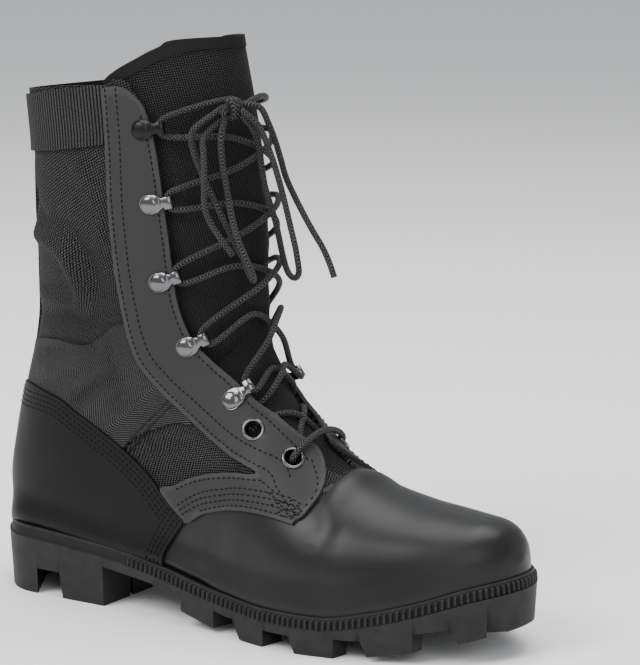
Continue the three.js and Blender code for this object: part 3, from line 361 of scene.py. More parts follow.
def softPath(corners, closed=True, sharp=50, spacing=1.2):
    # A smooth line through points, broken where it turns a sharp corner
    corners = np.asarray(corners, float)
    count = len(corners)
    breaks = [] if closed else [0, count - 1]
    for i in range(count if closed else 0):
        before, after = corners[i] - corners[i - 1], corners[(i + 1) % count] - corners[i]
        turn = abs(math.degrees(math.atan2(before[0] * after[1] - before[1] * after[0], before @ after)))
        if turn > sharp:
            breaks.append(i)
    if closed and not breaks:
        breaks = [0]
    runs = []
    for k, start in enumerate(breaks if closed else [0]):
        stop = breaks[(k + 1) % len(breaks)] if closed else count - 1
        reach = (stop - start) % count or (count if closed else 0)
        runs.append([corners[(start + i) % count] for i in range(reach + 1)])
    line = []
    for run in runs:
        run = np.array(run)
        ends = np.vstack([2 * run[0] - run[1], run, 2 * run[-1] - run[-2]])
        for i in range(1, len(ends) - 2):
            a, b, c, d = ends[i - 1:i + 3]
            steps = max(2, int(np.linalg.norm(c - b) / spacing))
            for t in np.arange(steps) / steps:
                line.append(0.5 * (2 * b + (c - a) * t + (2 * a - 5 * b + 4 * c - d) * t * t
                                   + (3 * b - a - 3 * c + d) * t ** 3))
        if not closed:
            line.append(run[-1])
    return np.array(line)


def sideOutline(pairs, **options):
    return softPath([sidePoint(row, share) for row, share in pairs], **options)


def nearLine(points, line, closed=False):
    # How far points lie from a line, both seen from the side
    flat = points.reshape(-1, 2)
    best = np.full(len(flat), np.inf)
    ends = np.roll(line, -1, axis=0) if closed else line[1:]
    for a, b in zip(line, ends):
        edge = b - a
        t = np.clip(((flat - a) @ edge) / max(edge @ edge, 1e-12), 0, 1)
        best = np.minimum(best, ((flat - a - t[:, None] * edge) ** 2).sum(axis=1))
    return np.sqrt(best).reshape(points.shape[:-1])


def insideOutline(points, line):
    # The same distance, positive inside a closed outline and negative outside
    flat = points.reshape(-1, 2)
    inside = np.zeros(len(flat), bool)
    for a, b in zip(line, np.roll(line, -1, axis=0)):
        crosses = (a[1] > flat[:, 1]) != (b[1] > flat[:, 1])
        if crosses.any() and b[1] != a[1]:
            at = a[0] + (flat[:, 1] - a[1]) / (b[1] - a[1]) * (b[0] - a[0])
            inside ^= crosses & (flat[:, 0] < at)
    inside = inside.reshape(points.shape[:-1])
    return np.where(inside, 1, -1) * nearLine(points, line, closed=True)


sideView = skin["points"][:, :, (0, 2)]
onOuter = np.where(skin["points"][:, :, 1] < 0, 1.0, -1.0)
aboveSeat = skin["points"][:, :, 2] - seatHeight(skin["points"][:, :, 0]) + 1.2


toeTip = 0.6  # how far the last point of the toe stands out of the last ring


# Folds of the cloth and creases of the leather: soft ridges and troughs along short lines
def softFolds(folds):
    height = np.zeros(sideView.shape[:2])
    for side, line, width, lift in folds:
        path = sideOutline(line, closed=False)
        away = nearLine(sideView, path)
        ends = np.minimum(np.linalg.norm(sideView - path[0], axis=2), np.linalg.norm(sideView - path[-1], axis=2))
        taper = np.where(away < 3 * width, np.exp(-(away / width) ** 2), 0) * smooth(0, 3 * width, ends + width)
        height += lift * taper * ((skin["points"][:, :, 1] * side) > 0)
    return height


def clipPatch(inside, offset, lift=None):
    # The part of the grid where inside is positive, cut along a smooth edge
    rows, columns = inside.shape
    proud = np.full(inside.shape, offset) if lift is None else offset + lift
    raised = skin["points"] + skin["normals"] * proud[..., None]
    places, flats, index, faces = [], [], {}, []

    def corner(i, j):
        key = (i, j)
        if key not in index:
            index[key] = len(places)
            places.append(raised[i, j])
            flats.append((i, j, i, j, 0.0))
        return index[key]

    def cut(i, j, k, l):
        key = (i, j, k, l) if (i, j) < (k, l) else (k, l, i, j)
        if key not in index:
            a, b, c, d = key
            t = inside[a, b] / (inside[a, b] - inside[c, d])
            index[key] = len(places)
            places.append(mix(raised[a, b], raised[c, d], t))
            flats.append((a, b, c, d, t))
        return index[key]

    full = inside > 0
    for i in range(rows - 1):
        row = full[i] | full[i + 1] | np.roll(full[i], -1) | np.roll(full[i + 1], -1)
        for j in np.nonzero(row)[0]:
            k = (j + 1) % columns
            around = [(i, j), (i, k), (i + 1, k), (i + 1, j)]
            kept = [bool(full[spot]) for spot in around]
            if all(kept):
                faces.append([corner(*spot) for spot in around])
                continue
            face = []
            for n in range(4):
                here, after = around[n], around[(n + 1) % 4]
                if kept[n]:
                    face.append(corner(*here))
                if kept[n] != kept[(n + 1) % 4]:
                    face.append(cut(*here, *after))
            if len(face) > 2:
                faces.append(face)
    if full[0].all():  # the tip of the toe
        ring = [corner(0, j) for j in range(columns)]
        places.append(raised[0].mean(axis=0) + (toeTip, 0, 0))
        flats.append((0, 0, 0, 0, 0.0))
        faces += [[ring[j], len(places) - 1, ring[(j + 1) % columns]] for j in range(columns)]
    return np.array(places), flats, faces


def blenderMesh(name, points, faces, materials, flatMap=None, smoothShade=True):
    mesh = bpy.data.meshes.new(name)
    mesh.from_pydata([tuple(p) for p in toRow(points)], [], [tuple(f) for f in faces])
    if flatMap is not None:
        layer = mesh.uv_layers.new(name="cloth")
        corners = np.zeros(len(mesh.loops), int)
        mesh.loops.foreach_get("vertex_index", corners)
        layer.data.foreach_set("uv", np.asarray(flatMap, float)[corners].ravel())
    mesh.validate()
    piece = bpy.data.objects.new(name, mesh)
    bpy.context.scene.collection.objects.link(piece)
    for material in materials:
        mesh.materials.append(material)
    if smoothShade:
        mesh.polygons.foreach_set("use_smooth", np.ones(len(mesh.polygons), bool))
    return piece


def faceOutward(piece):
    work = bmesh.new()
    work.from_mesh(piece.data)
    bmesh.ops.recalc_face_normals(work, faces=work.faces)
    work.to_mesh(piece.data)
    work.free()


sharpEdge = 50  # degrees


def thicken(piece, thickness, edge, lining):
    # Gives a sheet its thickness, inwards from its face, with softened edges
    wall = piece.modifiers.new("wall", "SOLIDIFY")
    wall.thickness = thickness * mm
    wall.offset = -1
    wall.use_even_offset = True
    wall.use_rim = True
    if lining is not None:
        piece.data.materials.append(lining)
        wall.material_offset = 1
        wall.material_offset_rim = 0
    soft = piece.modifiers.new("edge", "BEVEL")
    soft.width = edge * mm
    soft.segments = 2
    soft.limit_method = "ANGLE"
    soft.angle_limit = math.radians(sharpEdge)
    soft.use_clamp_overlap = True


def applyModifiers(piece):
    graph = bpy.context.evaluated_depsgraph_get()
    made = bpy.data.meshes.new_from_object(piece.evaluated_get(graph), depsgraph=graph)
    piece.modifiers.clear()
    old = piece.data
    piece.data = made
    made.name = piece.name
    bpy.data.meshes.remove(old)
    return piece


def sheetPiece(name, inside, offset, thickness, material, lift, edge, lining=None, mapFrom="fromBack"):
    # A layer of the boot laid over its form, where inside is positive
    points, flats, faces = clipPatch(inside, offset, lift)
    flats = np.array(flats)
    a, b, c, d = flats[:, :4].astype(int).T
    girth = skin[mapFrom]
    across = mix(girth[a, b], np.where(abs(girth[c, d] - girth[a, b]) > 20, girth[a, b], girth[c, d]), flats[:, 4])
    along = mix(skin["rise"][a, b], skin["rise"][c, d], flats[:, 4])
    piece = blenderMesh(name, points, faces, [material], np.stack([across, along], -1))
    first = np.cross(points[faces[0][1]] - points[faces[0][0]], points[faces[0][2]] - points[faces[0][0]])
    if first @ skin["normals"][a[faces[0][0]], b[faces[0][0]]] < 0:
        piece.data.flip_normals()
    thicken(piece, thickness, edge, lining)
    return applyModifiers(piece)


# Shader groups: effects that several materials share
class Nodes:
    # A short way to add and join shader nodes

    def __init__(self, tree):
        self.tree = tree

    def add(self, kind, inputs=None, **settings):
        node = self.tree.nodes.new(kind)
        for key, value in settings.items():
            setattr(node, key, value)
        for key, value in (inputs or {}).items():
            socket = node.inputs[key]
            if isinstance(value, bpy.types.NodeSocket):
                self.join(value, socket)
            else:
                socket.default_value = value
        return node

    def join(self, output, socket):
        self.tree.links.new(output, socket)

    def give(self, put, **values):
        for label, value in values.items():
            self.join(value, put.inputs[label])

    def noise(self, place, scale, detail, **more):
        inputs = {"Vector": place, "Scale": scale, "Detail": detail, **more}
        return self.add("ShaderNodeTexNoise", inputs).outputs[0]

    def calc(self, operation, *values):
        return self.add("ShaderNodeMath", dict(enumerate(values)), operation=operation).outputs[0]

    def blend(self, share, low, high):
        node = self.add("ShaderNodeMix", data_type="FLOAT")
        for key, value in ((0, share), (2, low), (3, high)):
            if isinstance(value, bpy.types.NodeSocket):
                self.join(value, node.inputs[key])
            else:
                node.inputs[key].default_value = value
        return node.outputs[0]

    def ramp(self, value, stops):
        node = self.add("ShaderNodeValToRGB", {0: value})
        band = node.color_ramp
        while len(band.elements) < len(stops):
            band.elements.new(0.5)
        for element, (place, colour) in zip(band.elements, stops):
            element.position = place
            element.color = colour if len(colour) == 4 else (*colour, 1)
        return node.outputs[0]


def newGroup(name, inputs, outputs):
    group = bpy.data.node_groups.new(name, "ShaderNodeTree")
    for label, kind, value in inputs:
        socket = group.interface.new_socket(label, in_out="INPUT", socket_type=kind)
        if value is not None:
            socket.default_value = value
    for label, kind in outputs:
        group.interface.new_socket(label, in_out="OUTPUT", socket_type=kind)
    nodes = Nodes(group)
    return group, nodes, nodes.add("NodeGroupInput"), nodes.add("NodeGroupOutput")


number, vector = "NodeSocketFloat", "NodeSocketVector"
slowScale = 38.0  # patches of two or three centimetres


def makeWeave():
    # Over and under threads of a plain cloth, from a map in millimetres, with a painted shade and highlight that
    # follow their height
    group, nodes, given, put = newGroup("weave", [("Map", vector, None), ("Pitch", number, 0.9),
                                                  ("Slant", number, 0.0)],
                                        [("Height", number), ("Tone", number)])
    turned = nodes.add("ShaderNodeVectorRotate", {"Vector": given.outputs["Map"], "Angle": given.outputs["Slant"]},
                       rotation_type="Z_AXIS")
    waver = nodes.noise(turned.outputs[0], 0.35, 1.0)
    parts = nodes.add("ShaderNodeSeparateXYZ", {0: turned.outputs[0]})
    shift = nodes.calc("MULTIPLY", nodes.calc("SUBTRACT", waver, 0.5), 0.8)
    turns = nodes.calc("DIVIDE", math.pi, given.outputs["Pitch"])
    u = nodes.calc("MULTIPLY", nodes.calc("ADD", parts.outputs[0], shift), turns)
    v = nodes.calc("MULTIPLY", nodes.calc("ADD", parts.outputs[1], shift), turns)
    over = nodes.calc("MULTIPLY", nodes.calc("SINE", u), nodes.calc("SINE", v))
    over = nodes.add("ShaderNodeMapRange", {0: over, 1: -0.25, 2: 0.25}).outputs[0]
    warp = nodes.calc("ABSOLUTE", nodes.calc("SINE", u))
    weft = nodes.calc("ABSOLUTE", nodes.calc("SINE", v))
    height = nodes.blend(over, warp, weft)
    fleck = nodes.noise(turned.outputs[0], 1.6, 2.0)
    # The tone follows the thread height: painted shade in the gaps and a painted highlight on the crowns, with random
    # flecks
    shadingAndTone = nodes.calc("MULTIPLY", height, nodes.calc("ADD", fleck, 0.5))
    nodes.give(put, Height=height, Tone=shadingAndTone)
    return group


def makeRibs():
    # Rounded ribs of a webbing, with its cross threads, and a painted shade and highlight that follow their height
    group, nodes, given, put = newGroup("ribs", [("Map", vector, None), ("Pitch", number, 1.7),
                                                 ("Slant", number, 0.0), ("Sway", number, 0.0)],
                                        [("Height", number), ("Tone", number)])
    turned = nodes.add("ShaderNodeVectorRotate", {"Vector": given.outputs["Map"], "Angle": given.outputs["Slant"]},
                       rotation_type="Z_AXIS")
    parts = nodes.add("ShaderNodeSeparateXYZ", {0: turned.outputs[0]})
    turns = nodes.calc("DIVIDE", math.pi, given.outputs["Pitch"])
    waver = nodes.noise(turned.outputs[0], 0.06, 1.0)
    swayed = nodes.calc("ADD", parts.outputs[0], nodes.calc("MULTIPLY", waver, given.outputs["Sway"]))
    rib = nodes.calc("ABSOLUTE", nodes.calc("SINE", nodes.calc("MULTIPLY", swayed, turns)))
    rib = nodes.calc("POWER", rib, 0.6)
    thread = nodes.calc("ABSOLUTE", nodes.calc("SINE", nodes.calc("MULTIPLY", parts.outputs[1], 5.2)))
    height = nodes.calc("ADD", nodes.calc("MULTIPLY", rib, 0.85), nodes.calc("MULTIPLY", thread, 0.15))
    fleck = nodes.noise(turned.outputs[0], 1.4, 2.0)
    # The tone follows the rib height: painted shade in the troughs and a painted highlight on the crowns, with random
    # flecks
    shadingAndTone = nodes.calc("MULTIPLY", height, nodes.calc("ADD", fleck, 0.5))
    nodes.give(put, Height=height, Tone=shadingAndTone)
    return group


def makeGrain():
    # Pores, fine cells and slow unevenness of a skin or moulded rubber
    group, nodes, given, put = newGroup("grain", [("Place", vector, None), ("Size", number, 1.0),
                                                  ("Pores", number, 0.5)],
                                        [("Height", number), ("Tone", number), ("Slow", number)])
    scale = nodes.calc("DIVIDE", 1000.0, given.outputs["Size"])
    cells = nodes.add("ShaderNodeTexVoronoi", {"Vector": given.outputs["Place"], "Scale": scale},
                      feature="SMOOTH_F1")
    pores = nodes.noise(given.outputs["Place"], nodes.calc("MULTIPLY", scale, 1.7), 3.0, Roughness=0.6)
    slow = nodes.noise(given.outputs["Place"], slowScale, 3.0)
    height = nodes.blend(given.outputs["Pores"], cells.outputs["Distance"], pores)
    nodes.give(put, Height=height, Tone=pores, Slow=slow)
    return group


def makeEdgeHighlight():
    # A mask of sharp edges and ridges, broken up by noise, for a painted highlight
    group, nodes, given, put = newGroup("edgeHighlight", [("Place", vector, None), ("Reach", number, 0.5)],
                                        [("Mask", number)])
    shape = nodes.add("ShaderNodeNewGeometry")
    edgeBreakup = nodes.noise(given.outputs["Place"], 160.0, 3.0)
    edge = nodes.add("ShaderNodeMapRange", {0: shape.outputs["Pointiness"], 1: 0.505, 2: 0.56}).outputs[0]
    edge = nodes.calc("MULTIPLY", nodes.calc("MULTIPLY", edge, given.outputs["Reach"]),
                      nodes.calc("ADD", edgeBreakup, 0.3))
    nodes.give(put, Mask=edge)
    return group


effects = {"weave": makeWeave(), "ribs": makeRibs(), "grain": makeGrain(), "edgeHighlight": makeEdgeHighlight()}


def newMaterial(name, look):
    # A surface with its own shader; the effect's height and its shading and tone shape its colour, gloss and relief.
    # On cloth this colour is a painted shade in the gaps and a painted highlight on the threads
    material = bpy.data.materials.new(name)
    material.use_nodes = True
    material.node_tree.nodes.clear()
    nodes = Nodes(material.node_tree)
    out = nodes.add("ShaderNodeOutputMaterial")
    shader = nodes.add("ShaderNodeBsdfPrincipled", {"Metallic": look.get("metal", 0.0)})
    nodes.join(shader.outputs[0], out.inputs[0])
    for socket, key in (("Specular IOR Level", "specular"), ("Coat Roughness", "coatRough"),
                        ("Coat Weight", "coat")):
        if key in look:
            shader.inputs[socket].default_value = look[key]
    place = nodes.add("ShaderNodeTexCoord").outputs["Object"]
    if look["effect"] in ("weave", "ribs"):
        cloth = nodes.add("ShaderNodeUVMap", uv_map="cloth").outputs[0]
        effect = nodes.add("ShaderNodeGroup", node_tree=effects[look["effect"]])
        nodes.join(cloth, effect.inputs["Map"])
        effect.inputs["Pitch"].default_value = look["pitch"]
        effect.inputs["Slant"].default_value = look.get("slant", 0.0)
        if "sway" in look:
            effect.inputs["Sway"].default_value = look["sway"]
        slow = nodes.noise(place, slowScale, 3.0)
    else:
        effect = nodes.add("ShaderNodeGroup", node_tree=effects["grain"])
        nodes.join(place, effect.inputs["Place"])
        effect.inputs["Size"].default_value = look["pitch"]
        effect.inputs["Pores"].default_value = look.get("pores", 0.5)
        slow = effect.outputs["Slow"]
    # For weave and ribs this tone carries a painted shade between the threads and a painted highlight on them
    shadingAndTone = nodes.blend(0.2, effect.outputs["Tone"], slow)
    dark, light = look["dark"], look["light"]
    colour = nodes.ramp(shadingAndTone, [(look.get("from", 0.15), dark), (look.get("to", 0.75), light)])
    # Sharp edges are blended towards a paler colour: a painted highlight
    if look.get("edgeHighlight"):
        highlightedEdge = nodes.add("ShaderNodeGroup", node_tree=effects["edgeHighlight"])
        nodes.join(place, highlightedEdge.inputs["Place"])
        highlightedEdge.inputs["Reach"].default_value = look["edgeHighlight"]
        highlighted = nodes.add("ShaderNodeMix", data_type="RGBA")
        nodes.join(highlightedEdge.outputs["Mask"], highlighted.inputs[0])
        nodes.join(colour, highlighted.inputs[6])
        highlighted.inputs[7].default_value = (*look["highlightedEdge"], 1)
        colour = highlighted.outputs[2]
    nodes.join(colour, shader.inputs["Base Color"])
    rough = nodes.add("ShaderNodeMapRange", {0: slow, 1: 0.3, 2: 0.7, 3: look["rough"][0], 4: look["rough"][1]})
    nodes.join(rough.outputs[0], shader.inputs["Roughness"])
    if look.get("relief"):
        bump = nodes.add("ShaderNodeBump", {"Strength": look.get("strength", 1.0), "Distance": look["relief"] * mm,
                                            "Height": effect.outputs["Height"]})
        nodes.join(bump.outputs[0], shader.inputs["Normal"])
    return material


# Each finish: its effect and thread or pore size in millimetres, two colours, gloss and relief. On the woven and
# ribbed finishes the dark colour is a painted shade in the gaps and the light colour a painted highlight on the
# threads
finishes = {
    "nylonCloth": {"effect": "weave", "pitch": 1.3, "slant": 0.3, "dark": (.0004, .0004, .0004),
                   "light": (.07, .07, .072), "from": .5, "to": 1.0, "rough": (.55, .72), "relief": 0.6,
                   "specular": 0.08},
    "tongueCloth": {"effect": "weave", "pitch": 1.2, "slant": 0.12, "dark": (.0004, .0004, .0004),
                    "light": (.045, .045, .0465), "from": .5, "to": 1.0, "rough": (.55, .72), "relief": 0.55,
                    "specular": 0.08},
    "liningCloth": {"effect": "weave", "pitch": 1.1, "dark": (.003, .003, .003), "light": (.009, .009, .0095),
                    "rough": (.8, .95), "relief": 0.15, "specular": 0.08},
    "collarWebbing": {"effect": "ribs", "pitch": 1.9, "dark": (.0003, .0003, .0003),
                      "light": (.055, .055, .056), "from": .55, "to": 1.0, "rough": (.55, .7), "relief": 0.6,
                      "specular": 0.1},
    "strapWebbing": {"effect": "ribs", "pitch": 1.5, "slant": math.pi / 2, "dark": (.0003, .0003, .0003),
                     "light": (.04, .04, .041), "from": .5, "to": 1.0, "rough": (.55, .7), "relief": 0.45,
                     "specular": 0.1},
    "strapRibs": {"effect": "ribs", "pitch": 1.5, "sway": 3.0, "dark": (.0003, .0003, .0003),
                  "light": (.07, .07, .072), "from": .52, "to": 1.0, "rough": (.5, .65), "relief": 0.6,
                  "specular": 0.1},
    # The edge amounts and edge colours below give a painted highlight on sharp edges
    "smoothLeather": {"effect": "grain", "pitch": 0.55, "pores": 0.7, "dark": (.018, .018, .0185),
                      "light": (.027, .027, .028), "rough": (.5, .62), "relief": 0.045, "specular": 0.2,
                      "edgeHighlight": 0.3, "highlightedEdge": (.06, .06, .06)},
    # A darker copy of the facing leather for the heel counter; its darkness is partly painted shade
    "counterLeatherWithShade": {"effect": "grain", "pitch": 0.55, "pores": 0.7, "dark": (.0035, .0035, .0036),
                       "light": (.006, .006, .0062), "rough": (.42, .52), "relief": 0.04, "specular": 0.13,
                       "edgeHighlight": 0.3, "highlightedEdge": (.03, .03, .03)},
    "vampLeather": {"effect": "grain", "pitch": 0.5, "pores": 0.7, "dark": (.005, .005, .0052),
                    "light": (.0085, .0085, .0088), "rough": (.36, .46), "relief": 0.035, "specular": 0.24,
                    "coat": 0.08, "coatRough": 0.3},
    "soleRubber": {"effect": "grain", "pitch": 0.8, "pores": 0.8, "dark": (.0045, .0045, .0047),
                   "light": (.0075, .0075, .0078), "rough": (.5, .64), "relief": 0.05, "specular": 0.15, "edgeHighlight": 0.6,
                   "highlightedEdge": (.035, .035, .036)},
    "nickelPlate": {"effect": "grain", "pitch": 0.6, "dark": (.07, .07, .072), "light": (.2, .2, .204),
                    "rough": (.12, .22), "relief": 0.02, "metal": 1.0},
    # A darker copy of the nickel for the top hook: painted shade
    "shadedNickel": {"effect": "grain", "pitch": 0.6, "dark": (.012, .012, .012), "light": (.03, .03, .03),
                  "rough": (.25, .4), "relief": 0.02, "metal": 1.0},
    "laceBraid": {"effect": "weave", "pitch": 1.2, "slant": 0.78, "dark": (.0006, .0006, .0006),
                  "light": (.09, .09, .093), "from": .4, "to": 1.0, "rough": (.45, .6), "relief": 0.5,
                  "specular": 0.1},
    "seamThread": {"effect": "grain", "pitch": 0.3, "dark": (.0008, .0008, .0008), "light": (.003, .003, .003),
                   "rough": (.5, .7), "relief": 0.05, "specular": 0.15},
    "insoleFelt": {"effect": "grain", "pitch": 0.9, "pores": 0.9, "dark": (.012, .012, .012),
                   "light": (.04, .04, .04), "rough": (.85, .95), "relief": 0.2, "specular": 0.2},
    "edgeTape": {"effect": "ribs", "pitch": 0.9, "dark": (.002, .002, .002), "light": (.012, .012, .012),
                 "rough": (.6, .75), "relief": 0.25, "specular": 0.1},
}
finish = {name: newMaterial(name, look) for name, look in finishes.items()}
print("finishes:", len(finish))


# Upper: the cloth of the shaft, the leather foot and the layers sewn on them
eyeletSpots = [(11.0, .835), (9.4, .90)]
hookSpots = [(24.22, .663), (22.35, .664), (19.62, .686), (16.04, .79), (12.37, .824)]
hookTurns = (0, 6, 8, 13, 19)  # degrees, the arm down towards the toe
ventSpots = [(11.42, .24), (10.55, .29)]
outlines = {name: sideOutline(pairs) for name, pairs in (
    ("eyestay", eyestayOutline), ("counter", counterOutline), ("saddle", saddleOutline), ("band", bandOutline),
    ("backstay", backstayOutline), ("tongue", tongueOutline))}
outlines["ankle"] = softPath(ankleStrap)
mouth = sideOutline(collarLine + throatEdge, closed=False)
mouth = np.vstack([mouth, [(sole["length"] * 1.5, mouth[-1][1] + 200), (sole["length"] * 1.5, 600),
                           (-200, 600), (-200, mouth[0][1])]])
notMouth = -insideOutline(sideView, mouth)
vampCurve = sideOutline(vampLine, closed=False)
vampArea = np.vstack([vampCurve, [(vampCurve[-1][0] + 5, 300), (sole["length"] * 1.5, 300),
                                  (sole["length"] * 1.5, -50), (vampCurve[0][0], -50)]])
inVamp = insideOutline(sideView, vampArea)

clothFolds = [  # the side, the line, how wide and how high
    (-1, [(23.3, .02), (22.75, .104), (22.49, .224), (22.08, .312), (21.26, .381), (20.19, .436)], 4.2, -3.1),
    (-1, [(22.5, .02), (22.19, .16), (21.77, .25), (20.9, .32), (20.0, .37)], 4.2, 3.1),
    (-1, [(20.56, .06), (20.4, .15), (19.86, .308), (18.95, .46)], 3.4, -2.6),
    (-1, [(20.15, .12), (19.4, .33), (18.7, .47)], 3.0, 1.7), (-1, [(21.2, .06), (20.7, .22), (19.9, .38)], 3.6, 2.0),
    (-1, [(19.4, .16), (19.1, .29), (18.81, .39), (18.4, .48)], 3.0, -2.3),
    (-1, [(18.9, .18), (18.6, .30), (18.3, .42)], 3.2, 1.9),
    (-1, [(18.71, .498), (17.87, .527), (16.99, .549), (16.67, .60)], 2.6, -1.9),
    (-1, [(17.5, .28), (17.25, .385), (17.26, .459), (16.92, .518)], 2.8, -2.0),
    (-1, [(17.75, .32), (17.71, .441), (17.41, .509)], 2.6, 1.7),
    (-1, [(13.6, .48), (12.9, .56), (12.4, .62)], 2.6, -1.4),
    (-1, [(23.9, .34), (22.9, .42), (21.6, .46)], 5.0, 1.4), (-1, [(14.6, .50), (14.1, .58), (13.9, .63)], 2.6, 1.2),
    (1, [(22.9, .04), (22.2, .20), (21.4, .38)], 4.2, -2.8), (1, [(22.1, .05), (21.4, .24), (20.4, .38)], 4.0, 2.6),
    (1, [(20.5, .08), (19.7, .30), (18.9, .46)], 3.4, -2.5), (1, [(19.2, .20), (18.7, .36), (18.3, .48)], 3.0, -2.0),
    (1, [(19.8, .12), (19.2, .32), (18.6, .45)], 3.0, 1.9), (1, [(17.4, .34), (17.2, .44), (16.9, .53)], 2.8, -1.9),
    (1, [(17.8, .36), (17.6, .46), (17.3, .53)], 2.8, 1.6), (1, [(13.8, .42), (13.2, .54), (12.6, .62)], 2.8, 1.4),
]
leatherFolds = [(side, *fold) for fold in (([(8.1, .86), (7.7, .74), (7.9, .60)], 3.4, -0.6),
                                           ([(7.5, .95), (7.2, .80), (7.3, .66)], 3.0, -0.45)) for side in (-1, 1)]


def holes(spots, radius):
    # How far the form lies outside round holes on both sides, so that a layer is cut there
    clear = np.full(sideView.shape[:2], farAway)
    for row, share in spots:
        for side in (-1, 1):
            point = formSeat(row, float(formAngle(row, share, side)))[0]
            clear = np.minimum(clear, np.linalg.norm(skin["points"] - point, axis=2) - radius)
    return clear


# The cloth lies flat at the back and under the layers' edges
calm = {"back": (9, 17), "layers": (0, 7)}  # millimetres from the middle of the back, and from an edge
clothLift = softFolds(clothFolds) * smooth(*calm["back"], abs(skin["points"][:, :, 1]))
for name in ("eyestay", "counter", "band"):
    clothLift *= smooth(*calm["layers"], -insideOutline(sideView, outlines[name]))
upperLay = {"shaftUp": -0.05, "vampUp": 0.12, "overlap": 3, "eyeletHole": 3.6, "shaftEdge": 0.4, "vampEdge": 0.5}


def makeUpper():
    whole = np.minimum.reduce([notMouth, aboveSeat, holes(eyeletSpots, upperLay["eyeletHole"])])
    wall, lining = upperSize["wall"], finish["liningCloth"]
    shaft = sheetPiece("shaft", np.minimum(whole, upperLay["overlap"] - inVamp), upperLay["shaftUp"], wall,
                       finish["nylonCloth"], clothLift, upperLay["shaftEdge"], lining)
    vamp = sheetPiece("vamp", np.minimum(whole, inVamp), upperLay["vampUp"], wall,
                      finish["vampLeather"], softFolds(leatherFolds), upperLay["vampEdge"], lining)
    settle(shaft, "shaft_nylon", "upper")
    settle(vamp, "leather", "upper")


makeUpper()
print("upper made")

layers = {"gap": 0.25, "eyeletHole": 4.3, "ankleThick": 0.75, "backstayWide": 20,
          "edge": {"leather": 0.55, "webbing": 0.4}}


def makeLayers():
    leather, webbing = upperSize["leather"], upperSize["webbing"]
    half = {-1: np.where(onOuter > 0, farAway, -farAway), 1: np.where(onOuter > 0, -farAway, farAway)}
    eyelets = holes(eyeletSpots, layers["eyeletHole"])
    made = []
    facing = insideOutline(sideView, outlines["eyestay"])
    counter = np.minimum(insideOutline(sideView, outlines["counter"]), aboveSeat)
    behindFacing, behindCounter = -facing - layers["gap"], -counter - layers["gap"]
    for side, word in ((-1, "outer"), (1, "inner")):
        saddle = np.minimum(insideOutline(sideView, outlines["saddle"]), behindCounter)
        facingAndSaddle = np.minimum.reduce([np.maximum(facing, saddle), half[side], aboveSeat, eyelets])
        ankle = np.minimum.reduce([insideOutline(sideView, outlines["ankle"]), half[side], behindFacing,
                                   behindCounter])
        made += [(f"eyestay_{word}_leather", facingAndSaddle, leather, "smoothLeather",
                  (f"eyestay_{word}", f"saddle_{word}"), "leather"),
                 (f"ankle_strap_{word}", ankle, layers["ankleThick"], "strapRibs", (), "webbing")]
    band = np.minimum(insideOutline(sideView, outlines["band"]), behindFacing)
    strapHalf = layers["backstayWide"] / 2 - abs(skin["points"][:, :, 1])
    behind = np.where(skin["points"][:, :, 0] < sole["heelLong"], farAway, -farAway)
    backstay = np.minimum.reduce([insideOutline(sideView, outlines["backstay"]), strapHalf, behind, behindCounter])
    made += [("heel_counter_leather", counter, leather, "counterLeatherWithShade", ("heel_counter",), "leather"),
             ("collar_band_webbing", band, webbing, "collarWebbing", ("collar_band",), "webbing"),
             ("backstay_webbing", backstay, webbing, "strapWebbing", ("backstay",), "webbing")]
    for name, inside, thick, look, replaced, slot in made:
        top = upperSize["gap"] + thick
        piece = sheetPiece(name, inside, top, top - 0.1, finish[look], clothLift if look == "strapRibs" else None,
                           layers["edge"][slot])
        settle(piece, slot, *replaced)


makeLayers()
print("layers made")


# Seams: every stitch is a short thread that dips into the leather at both ends
stitch = {"pitch": 2.7, "half": 0.95, "thick": 0.3, "sides": 6,
          "arch": ((-1, -.3), (-.6, .06), (0, .16), (.6, .06), (1, -.3))}  # place along it, and height


def insetLine(outline, start, stop, inset):
    # The part of an outline between two places, moved inwards
    line = sideOutline(outline[start:stop + 1], closed=False)
    ahead = unitRows(np.gradient(line, axis=0))
    aside = np.stack([-ahead[:, 1], ahead[:, 0]], -1)
    middle = len(line) // 2
    whole = sideOutline(outline)
    if insideOutline((line + aside)[middle:middle + 1], whole)[0] < 0:
        aside = -aside
    return line + aside * inset


def onForm(place, side):
    # The point and normal of the form under a place in the side view
    away = np.linalg.norm(sideView - place, axis=2) + np.where(skin["points"][:, :, 1] * side > -2, 0, farAway)
    i, j = np.unravel_index(away.argmin(), away.shape)
    i, j = min(max(i, 1), away.shape[0] - 2), j % away.shape[1]
    k, l = (j + 1) % away.shape[1], j - 1
    step = np.stack([sideView[i + 1, j] - sideView[i - 1, j], sideView[i, k] - sideView[i, l]], -1) / 2
    try:
        a, b = np.clip(np.linalg.solve(step, place - sideView[i, j]), -1, 1)
    except np.linalg.LinAlgError:
        a = b = 0.0
    points, normals = skin["points"], skin["normals"]
    point = points[i, j] + a * (points[i + 1, j] - points[i - 1, j]) / 2 + b * (points[i, k] - points[i, l]) / 2
    return point, normals[i, j]


